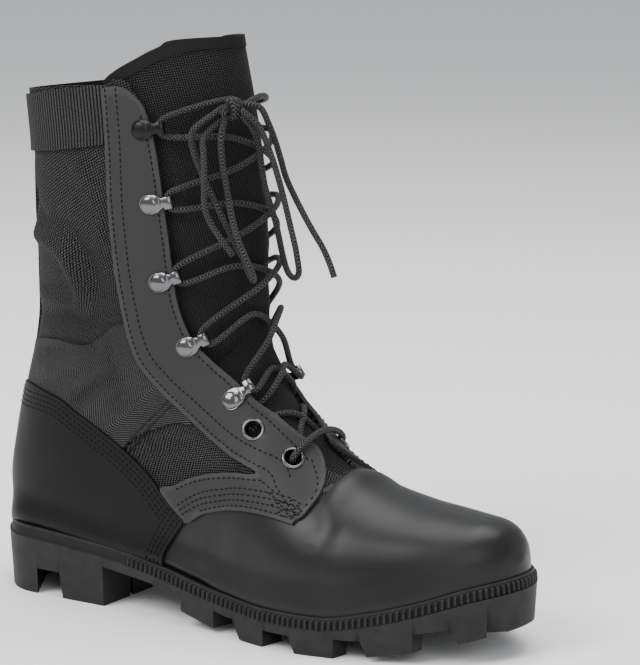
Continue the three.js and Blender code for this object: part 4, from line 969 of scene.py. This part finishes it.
def seamParts(line, side, top):
    run, sides = runAlong(line), stitch["sides"]
    count = max(2, int(run[-1] / stitch["pitch"]))
    at = (np.arange(count) + 0.5) * run[-1] / count
    points, faces = [], []
    for place in placesAt(at, run, line):
        nearest = np.linalg.norm(line - place, axis=1).argmin()
        after, before = line[min(nearest + 1, len(line) - 1)], line[max(nearest - 1, 0)]
        ahead = (after - before) / np.linalg.norm(after - before) * 0.6
        middle, normal = onForm(place, side)
        along = onForm(place + ahead, side)[0] - onForm(place - ahead, side)[0]
        along -= (along @ normal) * normal
        along /= max(np.linalg.norm(along), 1e-6)
        across = np.cross(normal, along)
        first = len(points)
        for t, up in stitch["arch"]:
            centre = middle + along * t * stitch["half"] + normal * (top + up)
            for n in range(sides):
                turn = 2 * math.pi * n / sides
                points.append(centre + stitch["thick"] * (math.cos(turn) * across + math.sin(turn) * normal))
        faces += sideFaces(len(stitch["arch"]), sides, first) + endFaces(len(stitch["arch"]), sides, first)
    return points, faces


seams = [  # the outline, the points between which the row runs, and how far in
    (eyestayOutline, 0, 16, 2.4), (eyestayOutline, 0, 14, 8.0), (eyestayOutline, 16, 21, 2.0),
    (eyestayOutline, 21, 32, 2.7), (counterOutline, 1, 9, 2.2), (counterOutline, 1, 9, 4.6),
    (counterOutline, 1, 9, 7.0), (counterOutline, 1, 9, 9.4), (counterOutline, 10, 13, 2.2),
    (counterOutline, 10, 13, 4.6), (counterOutline, 10, 13, 7.0), (counterOutline, 10, 13, 9.4),
    (saddleOutline, 2, 7, 2.2), (saddleOutline, 10, 15, 2.0), (saddleOutline, 10, 16, 4.6),
    (saddleOutline, 10, 16, 7.2), (saddleOutline, 11, 16, 9.8),
]
tackRows = [
    [(9.9, .715), (9.29, .735), (8.9, .765), (8.5, .78)], [(9.6, .700), (9.1, .718), (8.75, .742), (8.45, .758)],
    [(9.3, .692), (8.95, .705), (8.6, .725), (8.4, .735)], [(9.1, .68), (8.8, .69), (8.5, .70)],
    [(9.4, .66), (9.05, .72), (8.75, .775)], [(9.15, .65), (8.85, .70), (8.55, .755)],
    [(8.95, .655), (8.65, .695), (8.42, .735)],
]  # short crossing rows where the saddle strap meets the facing


def makeSeams():
    for side, word in ((-1, "outer"), (1, "inner")):
        rows = [insetLine(*row) for row in seams] + [sideOutline(row, closed=False) for row in tackRows]
        points, faces = joinParts([seamParts(line, side, leatherTop) for line in rows])
        piece = blenderMesh(f"seams_{word}", points, faces, [finish["seamThread"]])
        faceOutward(piece)
        settle(piece, "leather")


makeSeams()
print("seams made")


tongueLook = {
    "edge": 0.6, "rippleWide": 3.2,
    "ripples": ((11.8, .5, .7), (13.4, -.4, -.7), (15.2, .5, .8), (17.4, .3, -.7), (19.6, -.4, .6), (21.8, .3, -.5)),
    "bindingLine": [(25.0, .49), (25.3, .52), (25.5, .58), (25.7, .66), (26.0, .76), (26.3, .88), (26.4, 1.0),
                    (26.4, 1.2)],
    "bindingWide": 5.5, "bindingProud": 0.45, "bindingOver": 0.5, "bindingEdge": 1.2}


def makeTongue():
    under, proud = -upperSize["wall"] - upperSize["gap"], tongueLook["bindingProud"]
    inside = insideOutline(sideView, outlines["tongue"])
    ripples = softFolds([(side, [(row, .68), (row + shift, .84), (row + shift * .6, 1.0)],
                          tongueLook["rippleWide"], lift)
                         for side in (-1, 1) for row, shift, lift in tongueLook["ripples"]])
    tongue = sheetPiece("tongue_cloth", inside, under, upperSize["tongue"], finish["tongueCloth"], ripples,
                        tongueLook["edge"], finish["liningCloth"], "fromFront")
    top = sideOutline(tongueLook["bindingLine"], closed=False)
    tape = np.minimum(inside + tongueLook["bindingOver"], tongueLook["bindingWide"] - nearLine(sideView, top))
    binding = sheetPiece("tongue_binding", tape, under + proud, upperSize["tongue"] + 2 * proud,
                         finish["edgeTape"], None, tongueLook["bindingEdge"], None, "fromFront")
    settle(tongue, "tongue_nylon", "tongue")
    settle(binding, "webbing")


makeTongue()
print("tongue made")


# Outsole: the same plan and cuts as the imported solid, with fine outlines and ribs
treadLift = curveThrough((.43, .51, .56, .60, .75, .80, .87, .93, 1), (.52, .19, .05, 0, 0, .15, .37, .66, 1))
tread = {"waistEnd": 0.44, "slant": 0.19, "backLean": 3.5, "frontLean": 0.5, "outerLug": 0.127, "rampWide": 0.133}
lugRows = [(.440, .510, .16, .20), (.566, .617, .13, .20), (.680, .745, .13, .20), (.798, .867, .13, .20),
           (.925, 1.060, .15, 1.05)]  # back, front, inner lug, plateau
heelTread = {  # shares of the heel's length and width
    "fork": [(.51, -.60), (.21, -.07), (.51, .60), (1.3, .9), (1.3, -.9)],
    "blocks": [[(1.2, .26), (.63, .21), (.63, .8), (1.2, .8)], [(1.2, .07), (.75, .05), (1.0, -.17), (1.2, -.35)],
               [(1.2, -.22), (.81, -.20), (.64, -.37), (.72, -.8), (1.2, -.8)]],
    "blockSpread": 1.1}
island = {"along": 0.553, "across": -0.08, "reach": 11, "corner": 0.82, "turn": 0.08}
edgeStrip = {"spacing": 2.0, "ribsFrom": (0.31, 0.33),
             "lip": ((sole["lip"] + 0.4, -0.7), (sole["lip"] - 0.2, -0.9), (0.25, -0.75), (0, -0.3), (0.1, 0.6),
                     (0.3, 1.2))}  # how far below the seat, and how far in


def treadHeight(x):
    return treadLift(np.asarray(x, float) / sole["length"]) * sole["toeSpring"]


def soleOutline(spacing):
    x = sole["length"] * (1 - np.cos(np.linspace(0, math.pi, 1201))) / 2
    outer = np.stack([x, centreLine(x) - halfWidth(x)], -1)
    inner = np.stack([x, centreLine(x) + halfWidth(x)], -1)[-2:0:-1]
    line = np.vstack([outer, inner, outer[:1]])
    run = runAlong(line)
    count = 2 * round(run[-1] / spacing / 2)
    return placesAt(run[-1] * np.arange(count) / count, run, line)


def inset(outline, distance):
    step = unitRows(np.roll(outline, -1, axis=0) - np.roll(outline, 1, axis=0))
    return outline + np.stack([-step[:, 1], step[:, 0]], -1) * np.reshape(distance, (-1, 1))


def ringSolid(name, rings, material=None):
    # A closed skin through rings of equally many points
    rings = [np.asarray(ring, float) for ring in rings]
    faces = endFaces(len(rings), len(rings[0])) + sideFaces(len(rings), len(rings[0]))
    piece = blenderMesh(name, np.vstack(rings), faces, [material] if material else [], smoothShade=False)
    faceOutward(piece)
    return piece


def planSolid(name, outline, levels, spread=None):
    # A solid drawn in plan; the top ring may spread
    rings = []
    for k, z in enumerate(levels):
        ring = np.asarray(outline, float)
        if spread and k == len(levels) - 1:
            ring = ring.mean(axis=0) + (ring - ring.mean(axis=0)) * spread
        rings.append(np.column_stack([ring, np.full(len(ring), z)]))
    return ringSolid(name, rings)


def sideSolid(name, outline):
    # A solid drawn from the side, wider than the sole
    return ringSolid(name, [np.column_stack([outline[:, 0], np.full(len(outline), y), outline[:, 1]])
                            for y in (-sole["ball"], sole["ball"])])


def combine(piece, other, operation="DIFFERENCE"):
    cut = piece.modifiers.new("cut", "BOOLEAN")
    cut.object = other
    cut.operation = operation
    cut.solver = "EXACT"
    applyModifiers(piece)
    bpy.data.objects.remove(other)
    return piece


def profileUnder():
    waist = tread["waistEnd"] * sole["length"]
    x = np.linspace(waist, sole["length"], 60)
    front = np.stack([x, treadHeight(x)], -1)
    return np.vstack([[(-sole["outside"], 0), (sole["heelLong"], 0), (sole["heelLong"], sole["breast"]),
                       (waist, treadHeight(waist) + sole["tread"])], front,
                      [(sole["length"] + sole["outside"], sole["toeSpring"])]])


def profileOver(drop):
    x = np.linspace(sole["length"], 0, 100)
    return np.vstack([[(sole["length"] + sole["outside"], sole["toeHigh"] - drop)],
                      np.stack([x, seatHeight(x) - drop], -1), [(-sole["outside"], seatHeight(0) - drop)]])


def edgeOf(x, side):
    x = min(x, sole["length"])
    return float(centreLine(x) + side * halfWidth(min(x, sole["length"] * (1 - toeRound / 2))))


def grooveSolid(back, front):
    # A slanted groove right across the sole, between two rows of lugs
    rings = []
    for y in (-sole["ball"], sole["ball"]):
        shift = tread["slant"] * (y - edgeOf(back, -1))
        ring = []
        behind, ahead = tread["frontLean"], tread["backLean"]
        for x, depth, lean in ((back + behind, 1, -behind), (back + behind, -1, -behind),
                               (front - ahead, -1, ahead), (front - ahead, 1, ahead)):
            deep = depth * sole["tread"]
            ring.append((x + shift + lean * (1 - depth), y,
                         float(treadHeight(min(x + shift, sole["length"]))) + deep))
        rings.append(ring)
    return ringSolid("groove", rings)


def pocketSolid(back, front, innerLug, plateau):
    # The low ground between the outer and inner lugs of a row, with a ramp at each end
    middle = (back + front) / 2 * sole["length"]
    near = edgeOf(middle, -1) + tread["outerLug"] * sole["ball"]
    far = edgeOf(middle + tread["slant"] * sole["ball"], 1) - innerLug * sole["ball"]
    ramp = tread["rampWide"] * sole["ball"]
    section = [(near, -1), (near, 1), (near + ramp, 1 - plateau), (far - ramp, 1 - plateau), (far, 1), (far, -1)]
    rings = []
    for place in (back * sole["length"] - 2, front * sole["length"] + 2):
        ring = []
        for y, depth in section:
            x = place + tread["slant"] * (y - edgeOf(middle, -1))
            ring.append((x, y, float(treadHeight(min(x, sole["length"]))) + depth * sole["tread"]))
        rings.append(ring)
    return ringSolid("pocket", rings)


def heelCut():
    # The forked channel of the heel, less the blocks and the small island that stand in it
    scale = np.array([sole["heelLong"], sole["heelWide"]])
    channel = planSolid("channel", np.array(heelTread["fork"]) * scale, (-sole["outside"], sole["heelTread"]))
    x, y = island["along"] * sole["heelLong"], island["across"] * sole["heelWide"]
    corners = []
    for i in range(4):
        for bend in (-1, 1):
            turn = i * math.pi / 2 + island["turn"] + bend * math.pi / 4 * (1 - island["corner"])
            reach = island["reach"] * island["corner"] * 1.1
            corners.append((x + reach * math.cos(turn), y + reach * math.sin(turn)))
    for outline in [np.array(block) * scale for block in heelTread["blocks"]] + [np.array(corners)]:
        block = planSolid("block", outline, (-sole["outside"] - 1, 0, sole["heelTread"] + 1),
                          heelTread["blockSpread"])
        combine(channel, block)
    return channel


def shadeByAngle(piece, angle=38):
    work = bmesh.new()
    work.from_mesh(piece.data)
    for edge in work.edges:
        edge.smooth = not (edge.is_manifold and edge.calc_face_angle(0) > math.radians(angle))
    for face in work.faces:
        face.smooth = True
    work.to_mesh(piece.data)
    work.free()


def edgeRings(name, line, levels):
    # A strip round the sole's edge, from rings below the seat
    piece = ringSolid(name, [np.column_stack([inset(line, np.broadcast_to(deep, len(line))),
                                              seatHeight(line[:, 0]) - drop]) for drop, deep in levels],
                      finish["soleRubber"])
    shadeByAngle(piece)
    return piece


def makeOutsole():
    ribDrop = sole["ribBand"] + sole["lip"]
    fine = soleOutline(edgeStrip["spacing"])
    rings = [(inset(fine, sole["taper"]), 0), (inset(fine, -sole["taper"] * sole["outside"] / sole["heelHigh"]),
                                               sole["heelHigh"] + sole["outside"])]
    body = ringSolid("outsole_body", [np.column_stack([ring, np.full(len(ring), z)]) for ring, z in rings])
    combine(body, sideSolid("between", np.vstack([profileUnder(), profileOver(ribDrop)])), "INTERSECT")
    for row in lugRows:
        combine(body, pocketSolid(*row))
    for k in range(1, len(lugRows)):
        combine(body, grooveSolid(lugRows[k - 1][1] * sole["length"], lugRows[k][0] * sole["length"]))
    combine(body, heelCut())
    shadeByAngle(body)
    body.data.materials.append(finish["soleRubber"])
    teeth = soleOutline(sole["ribPitch"] / 4)
    square = np.array([(0, 1, 1, 0)[i % 4] for i in range(len(teeth))])
    ribbed = sole["heelLip"] - sole["ribDeep"] * smooth(*edgeStrip["ribsFrom"], teeth[:, 0] / sole["length"]) * square
    ribs = edgeRings("outsole_ribs", teeth, [
        (ribDrop, sole["heelLip"] - 0.2), (ribDrop - 0.5, ribbed), (sole["lip"] + 0.8, ribbed + 0.5),
        (sole["lip"] + 0.1, sole["heelLip"] + 0.9)])
    lip = edgeRings("outsole_lip", fine, [(drop, sole["lipInset"] + deep) for drop, deep in edgeStrip["lip"]])
    for piece in (body, ribs, lip):
        settle(piece, "outsole_rubber", "outsole")


makeOutsole()
print("outsole made")


insole = {"thick": 3.0, "spacing": 4.0,
          "edge": ((0, 7.6), (12, 9.5), (50, 13.2), (110, 13), (190, 11), (286, 8.8))}  # place, inset


def makeInsole():
    line = soleOutline(insole["spacing"])
    line = inset(line, np.interp(line[:, 0], *zip(*insole["edge"])))
    gap, thick = upperSize["gap"], insole["thick"]
    rings = []
    for up, deep in ((gap, .4), (gap + .4, 0), (gap + thick - .5, 0), (gap + thick, .6)):
        ring = inset(line, np.full(len(line), deep))
        rings.append(np.column_stack([ring, seatHeight(ring[:, 0]) + up]))
    piece = ringSolid("insole_felt", rings, finish["insoleFelt"])
    shadeByAngle(piece)
    settle(piece, "insole_felt", "insole")


makeInsole()
print("insole made")


# Metal: hooks, eyelets and the screened vents
def turned(profile, segments):
    # Points and faces of a profile of radius and height turned round Z, open at both ends
    turns = [2 * math.pi * i / segments for i in range(segments)]
    points = [(radius * math.cos(turn), radius * math.sin(turn), z) for radius, z in profile for turn in turns]
    return points, sideFaces(len(profile), segments)


def ringPart(profile, segments=40):
    points, faces = turned(profile, segments)
    last = (len(profile) - 1) * segments
    for i in range(segments):
        j = (i + 1) % segments
        faces.append([last + i, last + j, j, i])
    return points, faces


def discPart(profile, segments=36):
    points, faces = turned(profile, segments)
    return points, faces + endFaces(len(profile), segments)


def stripPart(line, widths, thickness, rounding=0.22):
    # A bent metal strip along a line of forward and outward places, with softened corners
    line = softPath(line, closed=False, spacing=0.5)
    along = np.linspace(0, 1, len(line))
    wide = np.interp(along, *zip(*widths)) / 2
    step = unitRows(np.gradient(line, axis=0))
    normal = np.stack([-step[:, 1], step[:, 0]], -1)
    points = []
    h = thickness / 2
    for k in range(len(line)):
        w = wide[k]
        for y, z in ((-w + rounding, h), (w - rounding, h), (w, h - rounding), (w, rounding - h),
                     (w - rounding, -h), (rounding - w, -h), (-w, rounding - h), (-w, h - rounding)):
            x, up = line[k] + normal[k] * z
            points.append((x, y, up))
    return points, sideFaces(len(line), 8) + endFaces(len(line), 8)


def wirePart(start, end, radius):
    # A straight wire with six sides
    start, end = np.array(start, float), np.array(end, float)
    across = np.cross(end - start, (0, 0, 1))
    across /= np.linalg.norm(across)
    points = [p + radius * (math.cos(t) * across + math.sin(t) * np.array((0, 0, 1)))
              for p in (start, end) for t in np.arange(6) * math.pi / 3]
    return points, sideFaces(2, 6) + endFaces(2, 6)


def seatedPiece(name, node, parts, spot, side, lift, material, turn=0):
    # Joins parts made in a seat's own frame and sets them on the boot: X to the throat, Z outwards
    row, share = spot
    point, normal, forward = formSeat(row, float(formAngle(row, share, side)))
    a = math.radians(side * turn)
    forward = math.cos(a) * forward + math.sin(a) * np.cross(normal, forward)
    across = np.cross(normal, forward)
    local, faces = joinParts(parts)
    placed = point + local[:, :1] * forward + local[:, 1:2] * across + (local[:, 2:] + lift) * normal
    piece = blenderMesh(name, placed, faces, [material])
    faceOutward(piece)
    shadeByAngle(piece, sharpEdge)
    settle(piece, "nickel", node)


hook = {"radius": 4.6, "dome": 2.1, "thickness": 0.8}
hookLine = [(0.5, .55), (5.2, .75), (9.2, 1.0), (11.6, 1.5), (12.9, 2.6), (12.7, 3.9), (11.4, 4.6), (9.6, 4.6)]
hookWidths = [(0, 9.4), (.2, 8.6), (.28, 7.4), (.36, 5.4), (.43, 4.4), (.5, 4.4), (.55, 5.5), (.6, 5.9), (1, 5.9)]


eyeletRing = [(3.75, -5.0), (3.7, 0.2), (3.9, 0.9), (4.4, 1.3), (4.9, 1.25), (5.35, .8), (5.55, 0.0), (5.3, -.2),
              (4.3, .2), (4.0, -5.0)]
vent = {"ring": [(3.7, -1.0), (3.7, .5), (4.0, 1.1), (4.5, 1.3), (5.1, 1.0), (5.5, .3), (5.5, -.3), (4.4, -1)],
        "floor": [(3.9, -.6), (3.9, -.2), (.2, -.2)], "reach": 3.75, "pitch": .95, "wire": .26, "up": (.45, .3),
        "lift": 0.15}


def makeFittings():
    radius, dome = hook["radius"], hook["dome"]
    rim = [(radius * 1.04, 0.0), (radius * 1.04, 0.35), (radius, 0.55), (radius * .93, 0.45)]
    crown = [(radius * .91 * math.cos(t), 0.5 + (dome - .5) * math.sin(t))
             for t in np.linspace(0, math.pi / 2 * .97, 9)]
    bright = finish["nickelPlate"]
    for side, word in ((-1, "outer"), (1, "inner")):
        for k, spot in enumerate(hookSpots):
            parts = [discPart(rim + crown), stripPart(hookLine, hookWidths, hook["thickness"])]
            # The top hook gets the darker copy of the nickel, a painted shade
            seatedPiece(f"hook_{word}_{k + 1}_metal", f"hook_{word}_{k + 1}", parts, spot, side, leatherTop - 0.1,
                        bright if k else finish["shadedNickel"], hookTurns[k])
        for k, spot in enumerate(eyeletSpots):
            seatedPiece(f"eyelet_{word}_{k + 1}_metal", f"eyelet_{word}_{k + 1}", [ringPart(eyeletRing)], spot, side,
                        leatherTop, bright)
    for k, spot in enumerate(ventSpots):
        parts = [ringPart(vent["ring"]), discPart(vent["floor"], 24)]
        for n in range(-3, 4):
            place, (over, under) = n * vent["pitch"], vent["up"]
            half = math.sqrt(vent["reach"] ** 2 - place ** 2)
            parts += [wirePart((-half, place, over), (half, place, over), vent["wire"]),
                      wirePart((place, -half, under), (place, half, under), vent["wire"])]
        seatedPiece(f"vent_{k + 1}_metal", f"vent_{k + 1}", parts, spot, 1, vent["lift"], bright)


makeFittings()
print("fittings made")


# Laces: one braided cord through the eyelets and hooks, tied in a bow
lace = {"width": 3.0, "sides": 12, "step": 1.1}


def throughPoints(points, step):
    # A smooth curve through points in space, evenly stepped
    points = np.asarray(points, float)
    ends = np.vstack([2 * points[0] - points[1], points, 2 * points[-1] - points[-2]])
    line = []
    for i in range(1, len(ends) - 2):
        a, b, c, d = ends[i - 1:i + 3]
        t0 = 0.0
        t1, t2, t3 = np.cumsum([max(np.linalg.norm(q - p), 1e-6) ** .5 for p, q in ((a, b), (b, c), (c, d))])
        for t in t1 + (t2 - t1) * np.arange(16) / 16:
            ab = (t1 - t) / (t1 - t0) * a + (t - t0) / (t1 - t0) * b
            bc = (t2 - t) / (t2 - t1) * b + (t - t1) / (t2 - t1) * c
            cd = (t3 - t) / (t3 - t2) * c + (t - t2) / (t3 - t2) * d
            abc = (t2 - t) / (t2 - t0) * ab + (t - t0) / (t2 - t0) * bc
            bcd = (t3 - t) / (t3 - t1) * bc + (t - t1) / (t3 - t1) * cd
            line.append((t2 - t) / (t2 - t1) * abc + (t - t1) / (t2 - t1) * bcd)
    line = np.vstack([line, points[-1:]])
    run = runAlong(line)
    return placesAt(np.linspace(0, run[-1], max(2, round(run[-1] / step) + 1)), run, line)


def tubePart(path, radius, sides):
    # Points, faces and a flat map of a tube along a path
    step = unitRows(np.gradient(path, axis=0))
    side = np.cross(step[0], (0.2, 0.3, 1.0))
    points, flat = [], []
    run = runAlong(path)
    for k, (place, ahead) in enumerate(zip(path, step)):
        side = side - (side @ ahead) * ahead
        side /= np.linalg.norm(side)
        other = np.cross(ahead, side)
        for i in range(sides):
            turn = 2 * math.pi * i / sides
            points.append(place + radius * (math.cos(turn) * side + math.sin(turn) * other))
            flat.append((abs(i - sides / 2) / sides * 2 * math.pi * radius, run[k]))
    return points, sideFaces(len(path), sides) + endFaces(len(path), sides), flat


def lacePiece(name, node, paths):
    parts = [tubePart(throughPoints(path, lace["step"]), lace["width"] / 2, lace["sides"]) for path in paths]
    points, faces = joinParts(parts)
    piece = blenderMesh(name, points, faces, [finish["laceBraid"]], [place for part in parts for place in part[2]])
    faceOutward(piece)
    settle(piece, "lace_cord", node)
    return piece


def overForm(row, angle, lift):
    point, normal = formSeat(row, angle)[:2]
    return point + normal * lift


def seatFrame(spot, side):
    point, normal, forward = formSeat(spot[0], float(formAngle(*spot, side)))
    upward = np.cross(normal, forward)
    if upward[2] < 0:
        upward = -upward
    return point, normal, forward, upward


hookPass = {"reach": 10.2, "up": 2.7, "rise": 3.6, "inwards": 1.6, "drop": 1.2}


def hookPoints(k, side):
    # Where the cord comes up to a hook, passes in it and leaves it
    point, normal, forward, upward = seatFrame(hookSpots[k], side)
    down = math.radians(hookTurns[k])
    arm = math.cos(down) * forward - math.sin(down) * upward
    at = point + arm * hookPass["reach"] + normal * (leatherTop + hookPass["up"])
    inwards = forward * hookPass["inwards"] - normal * hookPass["drop"]
    return [at - upward * hookPass["rise"] + inwards, at, at + upward * hookPass["rise"] + inwards]


def acrossThroat(start, end, low, high):
    # The cord from one side of the throat to the other, lying on the tongue
    rows = [mix(start[0], end[0], t) for t in (.25, .5, .75)]
    angles = [mix(start[1], end[1], t) for t in (.25, .5, .75)]
    lifts = (mix(low, high, .7) + .6, low, mix(low, high, .7) + .6)
    return [overForm(row, angle, lift) for row, angle, lift in zip(rows, angles, lifts)]


def throatAngle(spot, side, ahead):
    # The angle on the form of a point ahead of a fitting, from nothing up to a whole turn
    wide, top = sectionAt(spot[0])[6::2]
    share = min(spot[1] + ahead, .995)
    turn = math.acos(-((share - wide) / (1 - wide)) ** (top / 2))
    return turn if side > 0 else 2 * math.pi - turn


crossing = {"under": -.4, "over": 2.5, "fromEyelet": .05, "fromHook": .12}  # lifts, and shares of the throat


def laceStrand(first, over):
    # From the bottom bar on one side, up the throat from side to side to the top hook
    side = first
    levels = [eyeletSpots[1], eyeletSpots[0], *hookSpots[::-1]]
    points = []
    point, normal, forward, upward = seatFrame(levels[0], side)
    points += [point + normal * (leatherTop + 1.6), point - normal * 3.0, point + forward * 6 - normal * 3.4]
    for k in range(len(levels) - 1):
        low = crossing["under"] if (k + over) % 2 else crossing["over"]
        here = (levels[k][0], throatAngle(levels[k], side, crossing["fromEyelet" if k < 2 else "fromHook"]))
        side = -side
        there = (levels[k + 1][0], throatAngle(levels[k + 1], side, crossing["fromHook" if k else "fromEyelet"]))
        if k == 0:
            points += acrossThroat(here, there, min(low, -.2), -3)
            point, normal, forward, upward = seatFrame(levels[1], side)
            points += [point + forward * 5 - normal * 3.6, point + upward * 1 - normal * 3.4,
                       point + upward * 6 + forward * 4 - normal * 3.6]
        else:
            points += acrossThroat(here, there, low, 3 if k > 1 else -1)
            points += hookPoints(len(levels) - 2 - k, side)
    return points, side


bowRoutes = {
    "loop_outer": [(135, -24.5, 244.5), (129.1, -33.6, 232.6), (129.1, -32.6, 225), (132.3, -30.8, 214.3),
                   (136.2, -29.2, 205.2), (140.7, -27.8, 195.4), (143.4, -23.8, 185.9), (145, -20.8, 179.5),
                   (146.5, -18.2, 174.2), (147.9, -17.1, 169.2), (150.3, -18.1, 166.3), (153.4, -20.7, 165),
                   (156.1, -23.9, 165.8), (157.3, -26.5, 168.5), (156.6, -27.5, 171.9), (154.3, -28.2, 176.9),
                   (150.4, -28, 184.6), (146.6, -27, 193.4), (143.3, -26, 205.3), (140.9, -26, 217.4),
                   (140.4, -26.5, 230.3), (138.5, -24.5, 237.5)],
    "end_outer": [(135.6, -21.8, 236.3), (133.2, -30, 230.3), (135.1, -33, 223.8), (136.3, -34.6, 216.5),
                  (136.2, -34.4, 207.3), (135.7, -33, 197.9), (137.7, -31.5, 191.4), (142.6, -30, 183.9),
                  (148, -28.6, 176.8)],
    "loop_inner": [(147.4, -15.5, 239), (147.7, -10.5, 232.4), (148.8, -8, 225.3), (149.3, -6.5, 216),
                   (150.1, -5, 206.6), (152.8, -4.8, 198.3), (154.1, -2.8, 191.1), (153.8, 0.8, 182.9),
                   (153.6, 4, 174.7), (155.3, 4.6, 167.8), (157.7, 3.7, 164.8), (161.6, 1.4, 163.7),
                   (165.5, -1.4, 164.9), (167.9, -3.7, 168), (168, -4.6, 171.7), (167.1, -5.5, 179.3),
                   (164.9, -6, 188.4), (162.9, -6.5, 196.8), (161, -7, 204.4), (159.2, -8, 212.1),
                   (157.1, -9.5, 220.5), (154.4, -11, 228.9), (151.7, -13, 235.8), (149.2, -17.8, 242.5)],
    "end_inner": [(146.2, -13.2, 247), (149.9, -8.8, 243.4), (153, -6, 235.7), (154.7, -3.5, 228.3),
                  (156.7, -1.5, 219), (158.6, -0.5, 211.3), (162.7, 0, 203), (167.7, 0, 194.9), (173.1, 0, 186.8),
                  (178.5, 0, 179.4), (182.1, 0, 172.8), (184.9, 0, 166)],
}
knotPlace = np.array([141.0, -18.0, 243.0])
knot = {"reach": 4.6, "coil": 3.1, "rise": 2.7, "turns": 2.25}


def atKnot(start):
    # Where a cord comes out of the knot on its way to a place
    away = np.array(start, float) - knotPlace
    return knotPlace + away * knot["reach"] / np.linalg.norm(away)


def makeLaces():
    outer, outerEnd = laceStrand(-1, 0)
    inner, innerEnd = laceStrand(1, 1)
    ends = {outerEnd: outer, innerEnd: inner}
    top = hookSpots[0][0]
    ends[-1] += [overForm(top + .5, throatAngle(hookSpots[0], -1, .3), 4.2), atKnot((131, -21, 241.5))]
    ends[1] += [overForm(top + .4, throatAngle(hookSpots[0], 1, .26), 3.6), overForm(top + .5, math.pi, 3.2),
                atKnot((143.5, -9, 244))]
    lowest = eyeletSpots[1]
    bottom = [throatAngle(lowest, side, .0) for side in (-1, 1)]
    bar = [overForm(lowest[0], mix(*bottom, t), lift)
           for t, lift in ((.0, 3.2), (.12, 4.6), (.5, 4.8), (.88, 4.6), (1, 3.2))]
    bar = [seatFrame(lowest, -1)[0], *bar, seatFrame(lowest, 1)[0]]
    lacePiece("lace_crossings", "lacing", [outer, inner, bar])

    # The knot: a short core with a coil of the same cord round it
    turn = np.linspace(0, knot["turns"] * 2 * math.pi, 60)
    coil = np.stack([knot["coil"] * .8 * np.sin(turn), (turn / turn[-1] - .5) * knot["rise"] * knot["turns"],
                     knot["coil"] * 1.25 * np.cos(turn)], -1)
    aside = mix(-9.0, 9.0, np.linspace(0, 1, 12))
    core = np.stack([0.6 * np.sin(aside * .5), aside, 1.2 * np.cos(aside * .35)], -1)
    lacePiece("lace_knot", "bow_knot", [knotPlace + coil, knotPlace + core, knotPlace + core[::-1] * (1, 1, -1)])
    for name, route in bowRoutes.items():
        route = [atKnot(route[0]), *map(np.array, route[1:])]
        if name.startswith("loop"):
            route[-1] = atKnot(route[-1])
        path = throughPoints(route, lace["step"])
        cord = lacePiece("lace_" + name, "bow_" + name, [route])


makeLaces()
print("laces made")


# Floor and light
studio = {"floorReach": 12, "floorColour": (.9, .9, .9, 1), "floorRough": 0.9, "sky": (.95, .97, 1, 1),
          "skyPower": 0.62, "lampsFace": (0.1, 0, 0.1),
          "lamps": (("key", (-0.5, -1.3, 1.5), 1.2, 40), ("fill", (1.4, -1.2, 1.0), 1.2, 12),
                    ("over", (0.2, 0.4, 1.8), 1.4, 34))}  # place, size and watts


def makeStudio():
    mesh = bpy.data.meshes.new("floor")
    reach = studio["floorReach"]
    mesh.from_pydata([(-reach, -reach, 0), (reach, -reach, 0), (reach, reach, 0), (-reach, reach, 0)], [],
                     [(0, 1, 2, 3)])
    floor = bpy.data.objects.new("floor", mesh)
    bpy.context.scene.collection.objects.link(floor)
    pale = bpy.data.materials.new("paleFloor")
    pale.use_nodes = True
    surface = pale.node_tree.nodes["Principled BSDF"]
    surface.inputs["Base Color"].default_value = studio["floorColour"]
    surface.inputs["Roughness"].default_value = studio["floorRough"]
    mesh.materials.append(pale)
    for name, place, size, power in studio["lamps"]:
        lamp = bpy.data.objects.new(name, bpy.data.lights.new(name, "AREA"))
        bpy.context.scene.collection.objects.link(lamp)
        lamp.data.size = size
        lamp.data.energy = power
        lamp.location = place
        lamp.rotation_euler = (Vector(studio["lampsFace"]) - Vector(place)).to_track_quat("-Z", "Y").to_euler()
    world = bpy.data.worlds.new("studio")
    world.use_nodes = True
    sky = world.node_tree.nodes["Background"]
    sky.inputs["Color"].default_value = studio["sky"]
    sky.inputs["Strength"].default_value = studio["skyPower"]
    bpy.context.scene.world = world


makeStudio()
